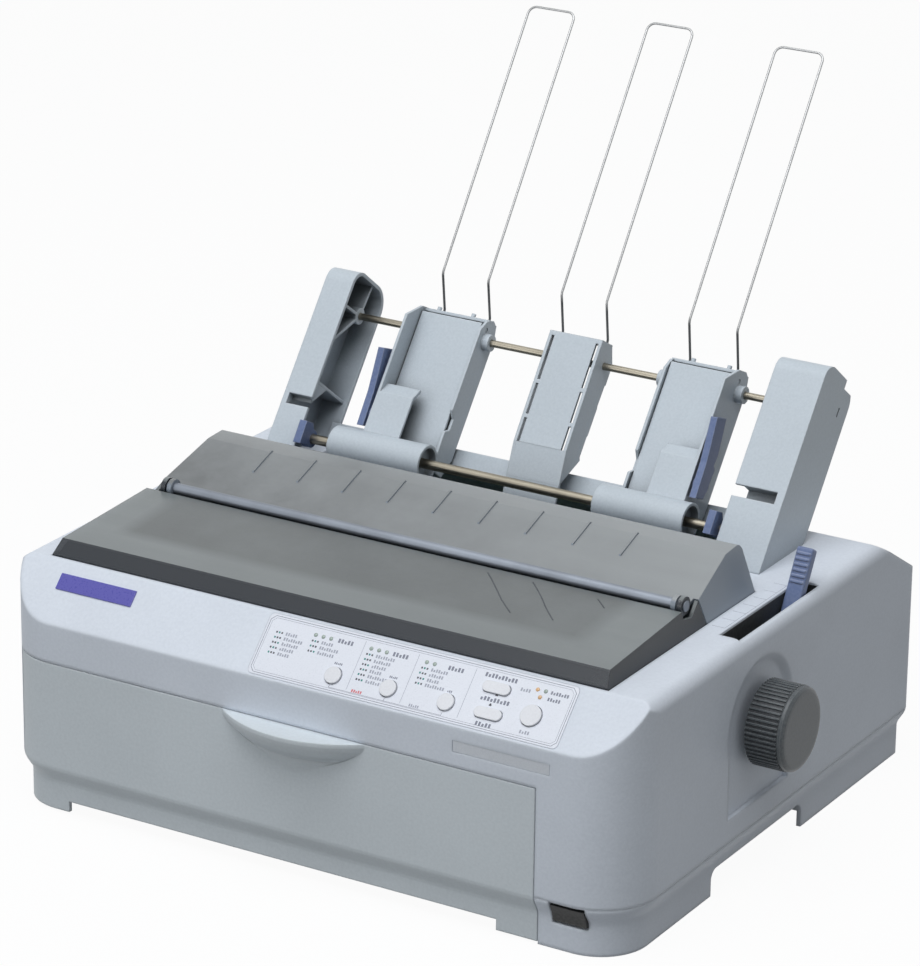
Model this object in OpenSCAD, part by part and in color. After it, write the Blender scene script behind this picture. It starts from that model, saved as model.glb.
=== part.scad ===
// Serial impact (dot matrix) printer with a single-bin cut sheet feeder.
// Millimetres. +X right, -Y front, +Z up. The datum is the middle of the whole
// printer's footprint, on the surface that it stands on.

/* [Case] */
// Width of the case
case_w = 414; // [400:1:440]
// Depth of the case, front wall to rear wall
case_d = 350; // [345:1:380]
// Height of the flat deck
deck_z = 147; // [144:1:152]
// Height at which the upright front face turns into the control slope
front_z = 118.4; // [116:0.2:121]
// Angle of the control slope from level
slope_angle = 45.5; // [43:0.5:48]
// Distance from the rear wall to the ridge where the deck starts to fall
ridge_back = 51; // [46:1:58]
// Height of the rear wall
rear_z = 116; // [110:1:122]
// Wall thickness of the moulded case
wall = 2.6; // [2.2:0.1:3.2]
// Plan radius of the two front corners
front_r = 35; // [30:1:38]
// Plan radius of the two rear corners
rear_r = 10; // [9:0.5:14]
// Radius along the deck's side edges
edge_r = 8; // [6:0.5:9]
// Height of the line where the lower and upper case part
split_z = 30; // [29:0.5:33]
// How far the base is drawn in below the parting line
tuck = 5; // [3:0.5:6]
// Height at which the drawn-in base becomes upright
tuck_z = 18; // [16:0.5:20]
// Height of the arches between the feet
arch_z = 15.4; // [13:0.2:16]

/* [Front cover] */
// Left edge of the cover, from the case's left side
cover_left = 11; // [9:0.5:14]
// Right edge of the cover, from the case's right side
cover_right = 56.8; // [54:0.2:62]
// Height of the cover's top edge
cover_top = 94.3; // [90:0.1:97]
// Gap round the cover
cover_gap = 0.5; // [0.4:0.05:0.8]
// Half the width of the pull
pull_half = 47; // [42:1:52]
// How far the pull stands out
pull_out = 17; // [14:0.5:19]
// Height over which the pull fades into the cover
pull_drop = 28; // [24:1:34]
// How far the cover turns down, in degrees
cover_swing = 80; // [70:1:80]

/* [Lid and hood] */
// Strip of deck left of the lid
lid_left = 18.5; // [17:0.5:24]
// Strip of deck right of the lid
lid_right = 30; // [29:0.5:36]
// Front edge of the lid, from the case's front
lid_front = 30; // [29.6:0.2:33]
// Height of the lid's front face above the deck
lid_rise = 9; // [7:0.5:10]
// Height of the lid's top above the deck, at the bar
lid_top = 14.3; // [13.6:0.1:15]
// Distance of the bar's axis from the case's front
bar_set = 125; // [122:0.5:128]
// Radius of the metal bar
bar_r = 3.2; // [2.8:0.1:3.5]
// Distance of the hood's rear face from the case's front
hood_rear = 198.3; // [195:0.5:202]
// Height of the hood's crest above the deck
hood_rise = 28.5; // [26:0.5:31]
// Thickness of the smoked mouldings
lid_wall = 2.4; // [2:0.1:2.8]

/* [Platen] */
// Distance of the platen's axis from the case's front
platen_set = 152; // [150:0.5:154]
// Height of the platen's axis
platen_z = 92; // [90:0.5:94]
// Radius of the rubber platen
platen_r = 17; // [15:0.5:18]
// Radius of the platen shaft's journals
journal_r = 5; // [4:0.5:5.5]
// Radius of the hand knob
knob_r = 25; // [22:0.5:27]
// Width of the hand knob
knob_w = 24; // [20:0.5:28]
// How far the knob's outer face stands out of the case
knob_out = 26; // [25:0.5:30]
// Running clearance on radius of every shaft
fit = 0.08; // [0.05:0.01:0.1]

/* [Control slope] */
// Left end of the overlay, from the case's middle
overlay_left = -36; // [-44:1:-30]
// Right end of the overlay, from the case's middle
overlay_right = 162; // [156:1:166]
// Radius of the three small round buttons
button_r = 5; // [4.4:0.1:5.4]
// Radius of the large round button
button_big_r = 6.2; // [5.6:0.1:6.6]
// Length of the two oblong buttons
button_long = 17; // [14:0.5:19]
// Width of the two oblong buttons
button_wide = 6.4; // [5.6:0.1:7]
// Travel of every button
button_travel = 0.8; // [0.5:0.1:1]

/* [Sheet feeder] */
// Lean of the feeder back from upright, in degrees
lean = 37.6; // [34:0.2:40]
// Distance of the roller shaft behind the hood
shaft_back = 44.1; // [43:0.1:47]
// Height of the roller shaft above the deck
shaft_rise = 13.5; // [13:0.1:16]
// Radius of the roller shaft
shaft_r = 3; // [2.5:0.1:3.4]
// Radius of the upper support rod
rod_r = 2.2; // [1.8:0.1:2.6]
// Outer side of the left frame, from the case's middle
frame_left_x = -173.5; // [-176:0.5:-171]
// Width of the left frame
frame_left_w = 19.5; // [19:0.5:22]
// Outer side of the right frame, from the case's middle
frame_right_x = 167; // [165:0.5:170]
// Width of the right frame
frame_right_w = 32.5; // [30:0.5:34]
// Height of the frames along the lean, above the roller shaft
frame_len = 109; // [106:0.5:113]
// Width of each hopper across its two walls
hopper_w = 47; // [44:0.5:49]
// Outer wall of the left hopper at rest
hopper_left_x = -114.8; // [-117:0.2:-112]
// Outer wall of the right hopper at rest
hopper_right_x = 104.5; // [102:0.2:105]
// Width of the middle support
middle_w = 36; // [32:0.5:40]
// Middle of the middle support at rest
middle_x = -3.3; // [-5:0.1:5]
// Outer radius of the roller covers
roll_cover_r = 11.5; // [11:0.1:12]
// Radius of the rubber feed rollers
feed_roll_r = 9; // [8.4:0.1:9.4]
// Width of each wire paper support
wire_w = 32; // [28:0.5:34]
// Thickness of the wire
wire_d = 1.5; // [1.2:0.1:2]
// Length of the wire above its bend
wire_len = 176; // [140:1:200]

/* [Mechanism] */
// Gear module
gear_m = 1.25; // [1.2:0.05:1.3]
// Teeth on the platen gear
platen_teeth = 48; // [48:1:48]
// Teeth on the idler gear
idler_teeth = 24; // [24:1:24]
// Teeth on the feed motor's pinion
pinion_teeth = 12; // [12:1:12]
// Width of the gears
gear_w = 4.5; // [4:0.5:5]
// Radius of the carriage guide rod
guide_r = 5; // [4:0.5:6]
// Ribs round the hand knob
knob_ribs = 54; // [40:1:60]

/* [Hidden] */
$fn = 48;

case_color = [0.80, 0.82, 0.86];
front_color = [0.62, 0.65, 0.68];
smoke = [0.45, 0.47, 0.48, 0.75];
blue = [0.36, 0.42, 0.58];
dark = [0.25, 0.26, 0.27];
steel = [0.72, 0.72, 0.70];
zinc = [0.60, 0.63, 0.65];
feeder_color = [0.70, 0.75, 0.80];

// Edges of the case
x_right = case_w / 2;
y_front = -case_d / 2;
y_rear = case_d / 2;

// Control slope and rear fall
slope_len = (deck_z - front_z) / sin(slope_angle);
ridge_y = y_rear - ridge_back;
fall_angle = atan((deck_z - rear_z) / ridge_back);

// Front cover
cover_x0 = -x_right + cover_left;
cover_x1 = x_right - cover_right;
cover_foot = 1.5;
cover_arch_z = 8;
cover_depth = 18;
cover_pin_r = 2;
cover_boss_r = 3.6;
cover_axis_y = y_front + tuck + wall + cover_boss_r + 0.3;
cover_axis_z = 16.5;
cover_foot_w = [34, 26];
cover_hinge_x = [cover_x0 + cover_foot_w[0] + 12, cover_x1 - cover_foot_w[1] - 12];
bay_y = cover_axis_y + 18;

// Lid, bar and hood
lid_x0 = -x_right + lid_left;
lid_x1 = x_right - lid_right;
lid_y0 = y_front + lid_front;
bar_y = y_front + bar_set;
bar_z = deck_z + lid_top + 0.7;
bar_x0 = lid_x0 + 13.5;
bar_x1 = lid_x1 - 5;
hood_y1 = y_front + hood_rear;
seam_y = bar_y + 14;
side_lean = 16.7;
rest_z = deck_z - wall;
ledge = 4;

// Feeder
shaft_y = hood_y1 + shaft_back;
shaft_z = deck_z + shaft_rise;
rod_depth = 18;
rod_along = frame_len - 22.5;
frame_front = -8;
frame_rear = 36;
hopper_rear = 28;
plate_depth = 11;
hopper_top = frame_len - 9;
inner_front = 8.5;

// Mechanism
platen_y = y_front + platen_set;
frame_t = 1.6;
mech_x0 = lid_x0 + 14;
mech_x1 = lid_x1 - 16;
floor_z = 12;
base_t = 1.5;
base_z = floor_z + base_t;
knob_x1 = x_right + knob_out;
guide_y = platen_y - 52;
guide_z = platen_z - 26;
gear_x1 = mech_x0 - 2;
gear_x0 = gear_x1 - gear_w;
idler_y = platen_y - 45 * gear_m / 1.25 * cos(50);
idler_z = platen_z - 45 * gear_m / 1.25 * sin(50);
pinion_y = idler_y - 22.5 * gear_m / 1.25 * cos(50);
pinion_z = idler_z - 22.5 * gear_m / 1.25 * sin(50);
belt_y = guide_y - 30;
belt_z = base_z + 36;
pulley_r = 8;
tractor_y = bay_y + 20;
tractor_z = 52;

// Datum: the middle of the whole printer's footprint
wire_base = hopper_top + 2;
wire_top_y = shaft_y + local_y(wire_depth(), wire_base)
    + 25 * sin(wire_tilt()) + wire_len * sin(wire_rake());
foot_x = (knob_x1 - x_right) / 2;
foot_y = (wire_top_y + wire_d / 2 + 0.04 + y_front - pull_out) / 2;

// Part of a position across the lean that lies along Y, and along Z
function local_y(depth, along) = depth * cos(lean) + along * sin(lean);
function local_z(depth, along) = along * cos(lean) - depth * sin(lean);
function wire_depth() = 22;
function wire_tilt() = -6;
function wire_rake() = 34.8;

// Height of the control slope's foot and the rear wall, drawn in by i
function slope_foot(i) = front_z + i * (sin(slope_angle) - 1) / cos(slope_angle);
function fall_foot(i) = rear_z + i * (sin(fall_angle) - 1) / cos(fall_angle);
// Draw-in of the base at height z: an S from tuck to nothing
function ogee(z) = z <= tuck_z ? tuck
    : tuck * (1 + cos(180 * (z - tuck_z) / (split_z - tuck_z))) / 2;
ogee_steps = [for (k = [0:6]) tuck_z + k * (split_z - tuck_z) / 6];

module datum() translate([-foot_x, -foot_y, 0]) children();
module along_x(x0, x1) translate([x0, 0, 0]) rotate([90, 0, 90]) linear_extrude(x1 - x0) children();
module along_y(y0, y1) translate([0, y1, 0]) rotate([90, 0, 0]) linear_extrude(y1 - y0) children();
module block(x0, x1, y0, y1, z0, z1) translate([x0, y0, z0]) cube([x1 - x0, y1 - y0, z1 - z0]);
module bar_along_x(x0, x1, y, z, r) translate([x0, y, z]) rotate([0, 90, 0]) cylinder(h = x1 - x0, r = r);
// On the control slope: X across, Y up the slope, Z out of it
module on_slope() translate([0, y_front, front_z]) rotate([slope_angle, 0, 0]) children();
// In the feeder: X across, Y through its depth, Z along its lean, from the roller shaft
module in_feeder() translate([0, shaft_y, shaft_z]) rotate([-lean, 0, 0]) children();

// ---- Case forms ----

// Plan outline, drawn in by i
module plan_outline(i) {
    for (s = [-1, 1]) {
        translate([s * (x_right - front_r), y_front + front_r]) circle(front_r - i);
        translate([s * (x_right - rear_r), y_rear - rear_r]) circle(rear_r - i);
    }
    translate([-x_right + i, y_front + front_r]) square([case_w - 2 * i, case_d - front_r - rear_r]);
    translate([-x_right + front_r, y_front + i]) square([case_w - 2 * front_r, case_d / 2]);
    translate([-x_right + rear_r, 0]) square([case_w - 2 * rear_r, case_d / 2 - i]);
}

// Side outline in (y, z), drawn in by i
module side_outline(i) {
    y0 = y_front + i;
    y1 = y_rear - i;
    z1 = deck_z - i;
    polygon([[y0, 0], [y0, slope_foot(i)], [y0 + (z1 - slope_foot(i)) / tan(slope_angle), z1],
        [y1 - (z1 - fall_foot(i)) / tan(fall_angle), z1], [y1, fall_foot(i)], [y1, 0]]);
}

// Outline seen from the front in (x, z), drawn in by i
module end_outline(i) {
    translate([-x_right + i, 0]) square([case_w - 2 * i, deck_z - edge_r]);
    translate([-x_right + edge_r, 0]) square([case_w - 2 * edge_r, deck_z - i]);
    for (s = [-1, 1]) translate([s * (x_right - edge_r), deck_z - edge_r]) circle(edge_r - i);
}

// The case above the parting line as a solid, drawn in by i
module upper_form(i) intersection() {
    linear_extrude(deck_z) plan_outline(i);
    along_x(-x_right, x_right) side_outline(i);
    along_y(y_front, y_rear) end_outline(i);
}

module upper_part(i) intersection() {
    upper_form(i);
    block(-x_right, x_right, y_front, y_rear, split_z, deck_z);
}

// The case below the parting line as a solid with its S-shaped draw-in, drawn in by i
module lower_form(i) {
    for (s = [-1, 1]) {
        translate([s * (x_right - front_r), y_front + front_r, 0]) base_corner(front_r, i);
        translate([s * (x_right - rear_r), y_rear - rear_r, 0]) base_corner(rear_r, i);
    }
    along_x(-x_right + front_r, x_right - front_r) base_span(y_front, 0, i);
    along_x(-x_right + rear_r, x_right - rear_r) mirror([1, 0]) base_span(-y_rear, 0, i);
    along_y(y_front + front_r, y_rear - rear_r) {
        base_span(-x_right, 0, i);
        mirror([1, 0]) base_span(-x_right, 0, i);
    }
}
module base_corner(r, i) rotate_extrude()
    polygon([[0, 0], [r - tuck - i, 0], for (z = ogee_steps) [r - ogee(z) - i, z], [0, split_z]]);
module base_span(edge, middle, i)
    polygon([[middle, 0], [edge + tuck + i, 0], for (z = ogee_steps) [edge + ogee(z) + i, z],
        [middle, split_z]]);

// Screw posts near the case's corners
post_at = [for (s = [-1, 1]) for (y = [y_front + 62, y_rear - 26]) [s * (x_right - 15), y]];
post_r = 5;
post_top = split_z + 24;
screw_r = 1.7;
head_r = 3.4;

module lower_case() datum() color(case_color) {
    difference() {
        union() {
            difference() {
                lower_form(0);
                intersection() {
                    lower_form(wall);
                    union() {
                        block(-x_right, x_right, y_front, y_rear, -1, floor_z - wall);
                        block(-x_right, x_right, y_front, y_rear, floor_z, split_z + 1);
                    }
                }
            }
            for (p = post_at) translate([p[0], p[1], floor_z - wall]) cylinder(h = split_z - floor_z + wall, r = post_r);
            cover_bay_wall();
        }
        // the bay that the front cover closes, and the space that its foot swings through
        block(cover_x0 - cover_gap, cover_x1 + cover_gap, y_front - 1, bay_y, -1, split_z + 1);
        // arches between the feet, front to back and across
        block(-x_right - 1, x_right + 1, y_front + 108, y_rear - 133, -1, arch_z - 6);
        for (y = [y_front + 108 + 6, y_rear - 133 - 6])
            bar_along_x(-x_right - 1, x_right + 1, y, arch_z - 6, 6);
        block(-x_right - 1, x_right + 1, y_front + 114, y_rear - 139, -1, arch_z);
        for (s = [-1, 1]) translate([0, y_rear, 0])
            block(s > 0 ? 40 : -150, s > 0 ? 150 : -40, -2 * wall - tuck, 1, -1, floor_z - wall);
        for (p = post_at) translate([p[0], p[1], 0]) {
            cylinder(h = split_z + 1, r = screw_r + 0.5);
            translate([0, 0, -1]) cylinder(h = floor_z + 3, r = head_r + 0.4);
        }
        // opening for the mains rocker
        block(rocker_x - rocker_w / 2 - 1.2, rocker_x + rocker_w / 2 + 1.2,
            y_front - 1, y_front + 12, rocker_z - rocker_h / 2 - 1, rocker_z + rocker_h / 2 + 1);
        bar_along_x(rocker_x - rocker_w / 2 - 2.4, rocker_x + rocker_w / 2 + 2.4, rocker_axis_y, rocker_z,
            rocker_pin_r + fit);
        rear_openings();
    }
    cover_ears();
    rocker_housing();
    board_posts();
    // pads that it stands on
    for (x = [foot_in - x_right, x_right - foot_in], y = [y_front + 80, y_rear - 25])
        translate([x, y, 0]) cylinder(h = floor_z - wall, r = 9);
}
foot_in = 37;

// Wall behind the front cover, and the two hinge ears on it that carry the cover
module cover_bay_wall() {
    block(cover_x0 - 2, cover_x1 + wall, bay_y, bay_y + wall, floor_z - wall, split_z);
    block(cover_x1 + cover_gap, cover_x1 + cover_gap + wall, y_front + 12, bay_y + wall, 0, split_z);
}
module cover_ears() {
    for (x = cover_hinge_x) difference() {
        along_x(x - 2, x + 2) {
            translate([cover_axis_y, cover_axis_z]) circle(cover_boss_r);
            polygon([[cover_axis_y - 1, cover_axis_z + cover_boss_r - 0.15],
                [cover_axis_y + 1.5, cover_axis_z - cover_boss_r + 0.35],
                [bay_y + 1, split_z - 12], [bay_y + 1, split_z - 1]]);
        }
        bar_along_x(x - 3, x + 3, cover_axis_y, cover_axis_z, cover_pin_r + fit);
    }
}

// Mains rocker beside the front cover
rocker_w = 21;
rocker_h = 12;
rocker_x = x_right - 36.5;
rocker_z = 22.6;
rocker_axis_y = y_front + 9;
rocker_pin_r = 1.5;
module rocker_housing() difference() {
    intersection() {
        lower_form(0);
        block(rocker_x - rocker_w / 2 - 2.4, rocker_x + rocker_w / 2 + 2.4,
            y_front, y_front + 17, rocker_z - rocker_h / 2 - 2.6, split_z);
    }
    block(rocker_x - rocker_w / 2 - 0.4, rocker_x + rocker_w / 2 + 0.4,
        y_front - 1, y_front + 15.5, rocker_z - rocker_h / 2 - 1, split_z + 1);
    bar_along_x(rocker_x - rocker_w, rocker_x + rocker_w, rocker_axis_y, rocker_z, rocker_pin_r + fit);
}

// Openings through the rear wall for the sockets
port_x = [57 - x_right, 115 - x_right];
inlet_x = [x_right - 89, x_right - 61];
port_z = [40, 60];
inlet_z = [38, 60];
module rear_openings() {
    block(port_x[0], port_x[1], y_rear - 12, y_rear + 1, port_z[0], port_z[1]);
    block(inlet_x[0], inlet_x[1], y_rear - 12, y_rear + 1, inlet_z[0], inlet_z[1]);
}

// ---- Upper case ----
slot_x0 = x_right - 16.6;
slot_x1 = x_right - 3.5 - edge_r / 8;
slot_y0 = platen_y - 21;
slot_y1 = platen_y + 75;
entry_x0 = frame_left_x + frame_left_w + 4;
entry_x1 = frame_right_x - frame_right_w - 4;
entry_y0 = hood_y1 + 7;
entry_y1 = shaft_y + 32;

module upper_case() datum() color(case_color) {
    difference() {
        union() {
            difference() {
                upper_part(0);
                difference() {
                    upper_form(wall);
                    // walls that stiffen the deck round the lid, and the rib over the cover
                    block(lid_x0 - cover_gap - wall, lid_x1 + cover_gap + wall, lid_y0 - cover_gap - wall,
                        hood_y1 + cover_gap + wall, deck_z - 9, deck_z);
                    on_slope() for (x = [overlay_left + 10, overlay_left + 98, overlay_right - 10])
                        translate([x, 9, board_z]) cylinder(h = -board_z, r = 2.2);
                    block(cover_x0, cover_x1, y_front, y_front + 12,
                        cover_top + cover_gap, cover_top + cover_gap + wall);
                    for (p = post_at) upper_post(p);
                    lever_box();
                    knob_arch(wall);
                }
            }
        }
        // front cover's place in the front wall
        block(cover_x0 - cover_gap, cover_x1 + cover_gap, y_front - 1, bay_y, 0, cover_top + cover_gap);
        // the well that the lid and hood close, with a step that they rest on
        block(lid_x0 - cover_gap, lid_x1 + cover_gap, lid_y0 - cover_gap, hood_y1 + cover_gap,
            rest_z, deck_z + 1);
        difference() {
            block(lid_x0 - cover_gap, lid_x1 + cover_gap, lid_y0 - cover_gap, hood_y1 + cover_gap,
                deck_z - 20, deck_z);
            for (x = [lid_x0 - cover_gap, lid_x1 + cover_gap - ledge])
                block(x, x + ledge, lid_y0 - 2, bar_y - 34, rest_z - wall, rest_z);
            for (x = [lid_x0 - cover_gap, lid_x1 + cover_gap - ledge])
                block(x, x + ledge, seam_y + 6, hood_y1 + 2, rest_z - wall, rest_z);
            block(lid_x0, lid_x1, lid_y0 - 2, lid_y0 + ledge, rest_z - wall, rest_z);
            block(lid_x0, lid_x1, hood_y1 - ledge, hood_y1 + 1, rest_z - wall, rest_z);
        }
        // mouth for cut sheets behind the hood
        block(entry_x0, entry_x1, entry_y0, entry_y1, deck_z - 30, deck_z + 1);
        block(slot_x0, slot_x1, slot_y0, slot_y1, deck_z - 20, deck_z + 1);
        knob_arch(0);
        bar_along_x(x_right - 30, x_right + 1, platen_y, platen_z, journal_r + 2);
        for (p = post_at) translate([p[0], p[1], split_z - 1]) cylinder(h = 19, r = screw_r + 0.05);
        overlay_seat();
        plate_seat();
        rear_openings();
        rear_vents();
    }
}

// One screw post of the upper case, tied to the side wall by a rib
module upper_post(p) {
    translate([p[0], p[1], split_z]) cylinder(h = post_top - split_z, r = post_r);
    side = sign(p[0]);
    translate([p[0] + (side > 0 ? 0 : -15), p[1] - 1.2, split_z + 2]) cube([15, 2.4, post_top - split_z - 2]);
}

// Shallow arch in the right wall round the hand knob, widening downwards
arch_r = 36;
arch_in = 3;
module knob_arch(i) {
    translate([x_right - arch_in - i, platen_y, platen_z]) rotate([0, 90, 0])
        cylinder(h = arch_in + i + 1, r1 = arch_r - 2 + i, r2 = arch_r + 4 + i);
    block(x_right - arch_in - i, x_right + 1, platen_y - arch_r - i, platen_y + arch_r + i,
        split_z + 14 - i, platen_z);
}

// Box under the deck that the release lever moves in
module lever_box() difference() {
    block(slot_x0 - wall, slot_x1 + wall, slot_y0 - wall, slot_y1 + wall, deck_z - 24, deck_z);
    block(slot_x0, slot_x1, slot_y0, slot_y1, deck_z - 22, deck_z + 1);
    bar_along_x(slot_x0 - 2 * wall, slot_x1 + 2 * wall, lever_y, lever_z, lever_pin_r + fit);
    block(slot_x0 + 1, slot_x1 - 1, lever_y - 9, lever_y + 9, deck_z - 40, deck_z - 20);
}

// Control slope: seat of the overlay, button holes and lamp holes
overlay_s = [1.6, slope_len - 1.2];
overlay_t = 0.6;
round_buttons = [[16.6, 11.6], [52, 12], [88.7, 12.4]];
oblong_buttons = [[114.6, 27], [115.6, 11.8]];
big_button = [140.4, 16.6];
lamp_r = 1.1;
lamp_at = [[-4, 32], [1, 32], [6, 32], [32.2, 32], [37.2, 32], [42.2, 32], [68, 32], [73, 32],
    [138, 32], [143, 32], [141, 28]];
module overlay_outline(grow) {
    r = 3;
    w = overlay_right - overlay_left;
    h = overlay_s[1] - overlay_s[0];
    translate([overlay_left, overlay_s[0]]) {
        translate([-grow, r]) square([w + 2 * grow, h - 2 * r]);
        translate([r, -grow]) square([w - 2 * r, h + 2 * grow]);
        for (x = [r, w - r]) for (y = [r, h - r]) translate([x, y]) circle(r + grow);
    }
}
module oblong(grow) {
    l = button_long - button_wide;
    square([l, button_wide + 2 * grow], center = true);
    for (s = [-1, 1]) translate([s * l / 2, 0]) circle(button_wide / 2 + grow);
}
module control_holes(grow) {
    for (b = round_buttons) translate(b) circle(button_r + grow);
    for (b = oblong_buttons) translate(b) oblong(grow);
    translate(big_button) circle(button_big_r + grow);
    for (p = lamp_at) translate(p) circle(lamp_r + 0.1);
}
module overlay_seat() on_slope() {
    translate([0, 0, -overlay_t + 0.15]) linear_extrude(5) overlay_outline(0.2);
    translate([0, 0, -wall - 4]) linear_extrude(wall + 8) control_holes(0.35);
}
// Shallow seat for a bare plate on the front face
module plate_seat() block(98, 159, y_front - 1, y_front + 0.5, front_z - 14.6, front_z - 8);

// Cooling slots in the rear wall
vent_n = 16;
vent_pitch = 9;
module rear_vents() for (k = [0:vent_n - 1])
    block(-vent_n * vent_pitch / 2 + k * vent_pitch, -vent_n * vent_pitch / 2 + k * vent_pitch + 4,
        y_rear - 12, y_rear + 1, 74, 98);

// ---- Front cover ----
// The pull is a revolve about an upright axis, so that it fades into the cover
pull_turn_r = (pow(pull_half, 2) + pow(pull_out, 2)) / (2 * pull_out);
pull_x = -5;
function pull_radius(t) = pull_turn_r - pull_out * pow(sin(90 * t), 1.6);
module pull_form(i) translate([pull_x, y_front - pull_out + pull_turn_r, cover_top - i])
    rotate_extrude($fn = 96) polygon([[0, 0], [pull_turn_r - i, 0], [pull_turn_r - i, -2.2 + i * 0.6],
        for (t = [0.1:0.1:1]) [pull_radius(t) - i, -2.2 - (pull_drop - 2.2) * t],
        [0, -pull_drop]]);

module front_cover() datum() color(front_color) {
    difference() {
        union() {
            intersection() {
                difference() {
                    union() {
                        lower_form(0);
                        upper_part(0);
                    }
                    difference() {
                        union() {
                            lower_form(wall);
                            upper_part(wall);
                        }
                        // stiffening returns along the top and the two ends
                        block(cover_x0 + 6, cover_x1, y_front, y_front + 11, cover_top - 2, cover_top);
                        block(cover_x1 - 2, cover_x1, y_front, y_front + 11, 10, cover_top);
                        block(cover_x0, cover_x0 + 2.2, y_front, y_front + cover_depth, 10, cover_top);
                        for (x = [-60 : 60 : 60]) block(x - 1, x + 1, y_front, y_front + 6, cover_arch_z, cover_top);
                    }
                }
                block(cover_x0, cover_x1, y_front - 1, y_front + cover_depth, cover_foot, cover_top);
            }
            intersection() {
                pull_form(0);
                block(cover_x0, cover_x1, y_front - 2 * pull_out, y_front + wall / 2, 0, cover_top);
            }
        }
        intersection() {
            pull_form(wall);
            block(cover_x0, cover_x1, y_front - 2 * pull_out, y_front + 20, 0, cover_top - wall);
        }
        block(cover_x0 + cover_foot_w[0], cover_x1 - cover_foot_w[1], y_front - 1, y_front + 20, 0, cover_arch_z);
    }
    for (x = cover_hinge_x) {
        bar_along_x(x - 4.6, x + 4.6, cover_axis_y, cover_axis_z, cover_pin_r);
        for (s = [-1, 1]) along_x(x + s * 3.6 - 1.2, x + s * 3.6 + 1.2) {
            translate([cover_axis_y, cover_axis_z]) circle(cover_boss_r);
            translate([y_front + tuck + wall / 2, cover_axis_z - cover_boss_r])
                square([cover_axis_y - y_front - tuck - wall / 2, 2 * cover_boss_r]);
        }
    }
}

// ---- Lid, bar and hood ----

// Lid outline from the side: low front face, rising top
module lid_side(i) polygon([[lid_y0 + i, rest_z + 0.2 - (i > 0 ? 1 : 0)], [lid_y0 + i, deck_z + 1],
    [lid_y0 + 6.5 + i, deck_z + lid_rise - i], [bar_y - 6, deck_z + lid_top - i - 0.6],
    [bar_y - 6, deck_z + lid_top - bar_r - 2], [bar_y + 3, deck_z + lid_top - bar_r - 3.4],
    [seam_y - 1, deck_z + lid_top - 0.4], [seam_y + 2.2, rest_z + 0.2 - (i > 0 ? 1 : 0)]]);
// Sides that lean in, seen from the front
module leaning_sides(x0, x1, i, top) polygon([[x0 + i, rest_z - 1 - i], [x0 + i, deck_z],
    [x0 + i + top * tan(side_lean), deck_z + top], [x1 - i - top * tan(side_lean), deck_z + top],
    [x1 - i, deck_z], [x1 - i, rest_z - 1 - i]]);

module printer_lid() datum() color(smoke) {
    difference() {
        intersection() {
            along_x(lid_x0, lid_x1) lid_side(0);
            along_y(lid_y0, seam_y + 3) leaning_sides(lid_x0, lid_x1, 0, 20);
        }
        intersection() {
            along_x(lid_x0, lid_x1) lid_side(lid_wall);
            along_y(lid_y0, bar_y - 6 - lid_wall) leaning_sides(lid_x0, lid_x1, lid_wall, 20);
        }
        // behind the top plate only the two skirts go on
        along_y(bar_y - 6, seam_y + 3) leaning_sides(lid_x0, lid_x1, lid_wall, 20);
        along_y(bar_y - 9 - lid_wall, seam_y + 3) intersection() {
            leaning_sides(lid_x0, lid_x1, lid_wall, 20);
            translate([lid_x0, 0]) square([lid_x1 - lid_x0, deck_z + lid_top - 6]);
        }
    }
    // rear edge and the two hinge ears on the bar's ends
    block(lid_x0 + 5.5, lid_x1 - 5.5, bar_y - 8.6, bar_y - 6.2, deck_z + lid_top - 6, deck_z + lid_top - 1);
    for (x = [bar_x0, bar_x1 - 3]) difference() {
        union() {
            bar_along_x(x, x + 3, bar_y, bar_z, bar_r + 2.2);
            block(x, x + 3, bar_y - 8.6, bar_y - 1, bar_z - 5.4, bar_z - 1.8);
        }
        bar_along_x(x - 1, x + 4, bar_y, bar_z, bar_r + fit);
    }
}

module lid_bar() datum() color(steel) bar_along_x(bar_x0 - 0.6, bar_x1 + 0.6, bar_y, bar_z, bar_r);

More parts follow.
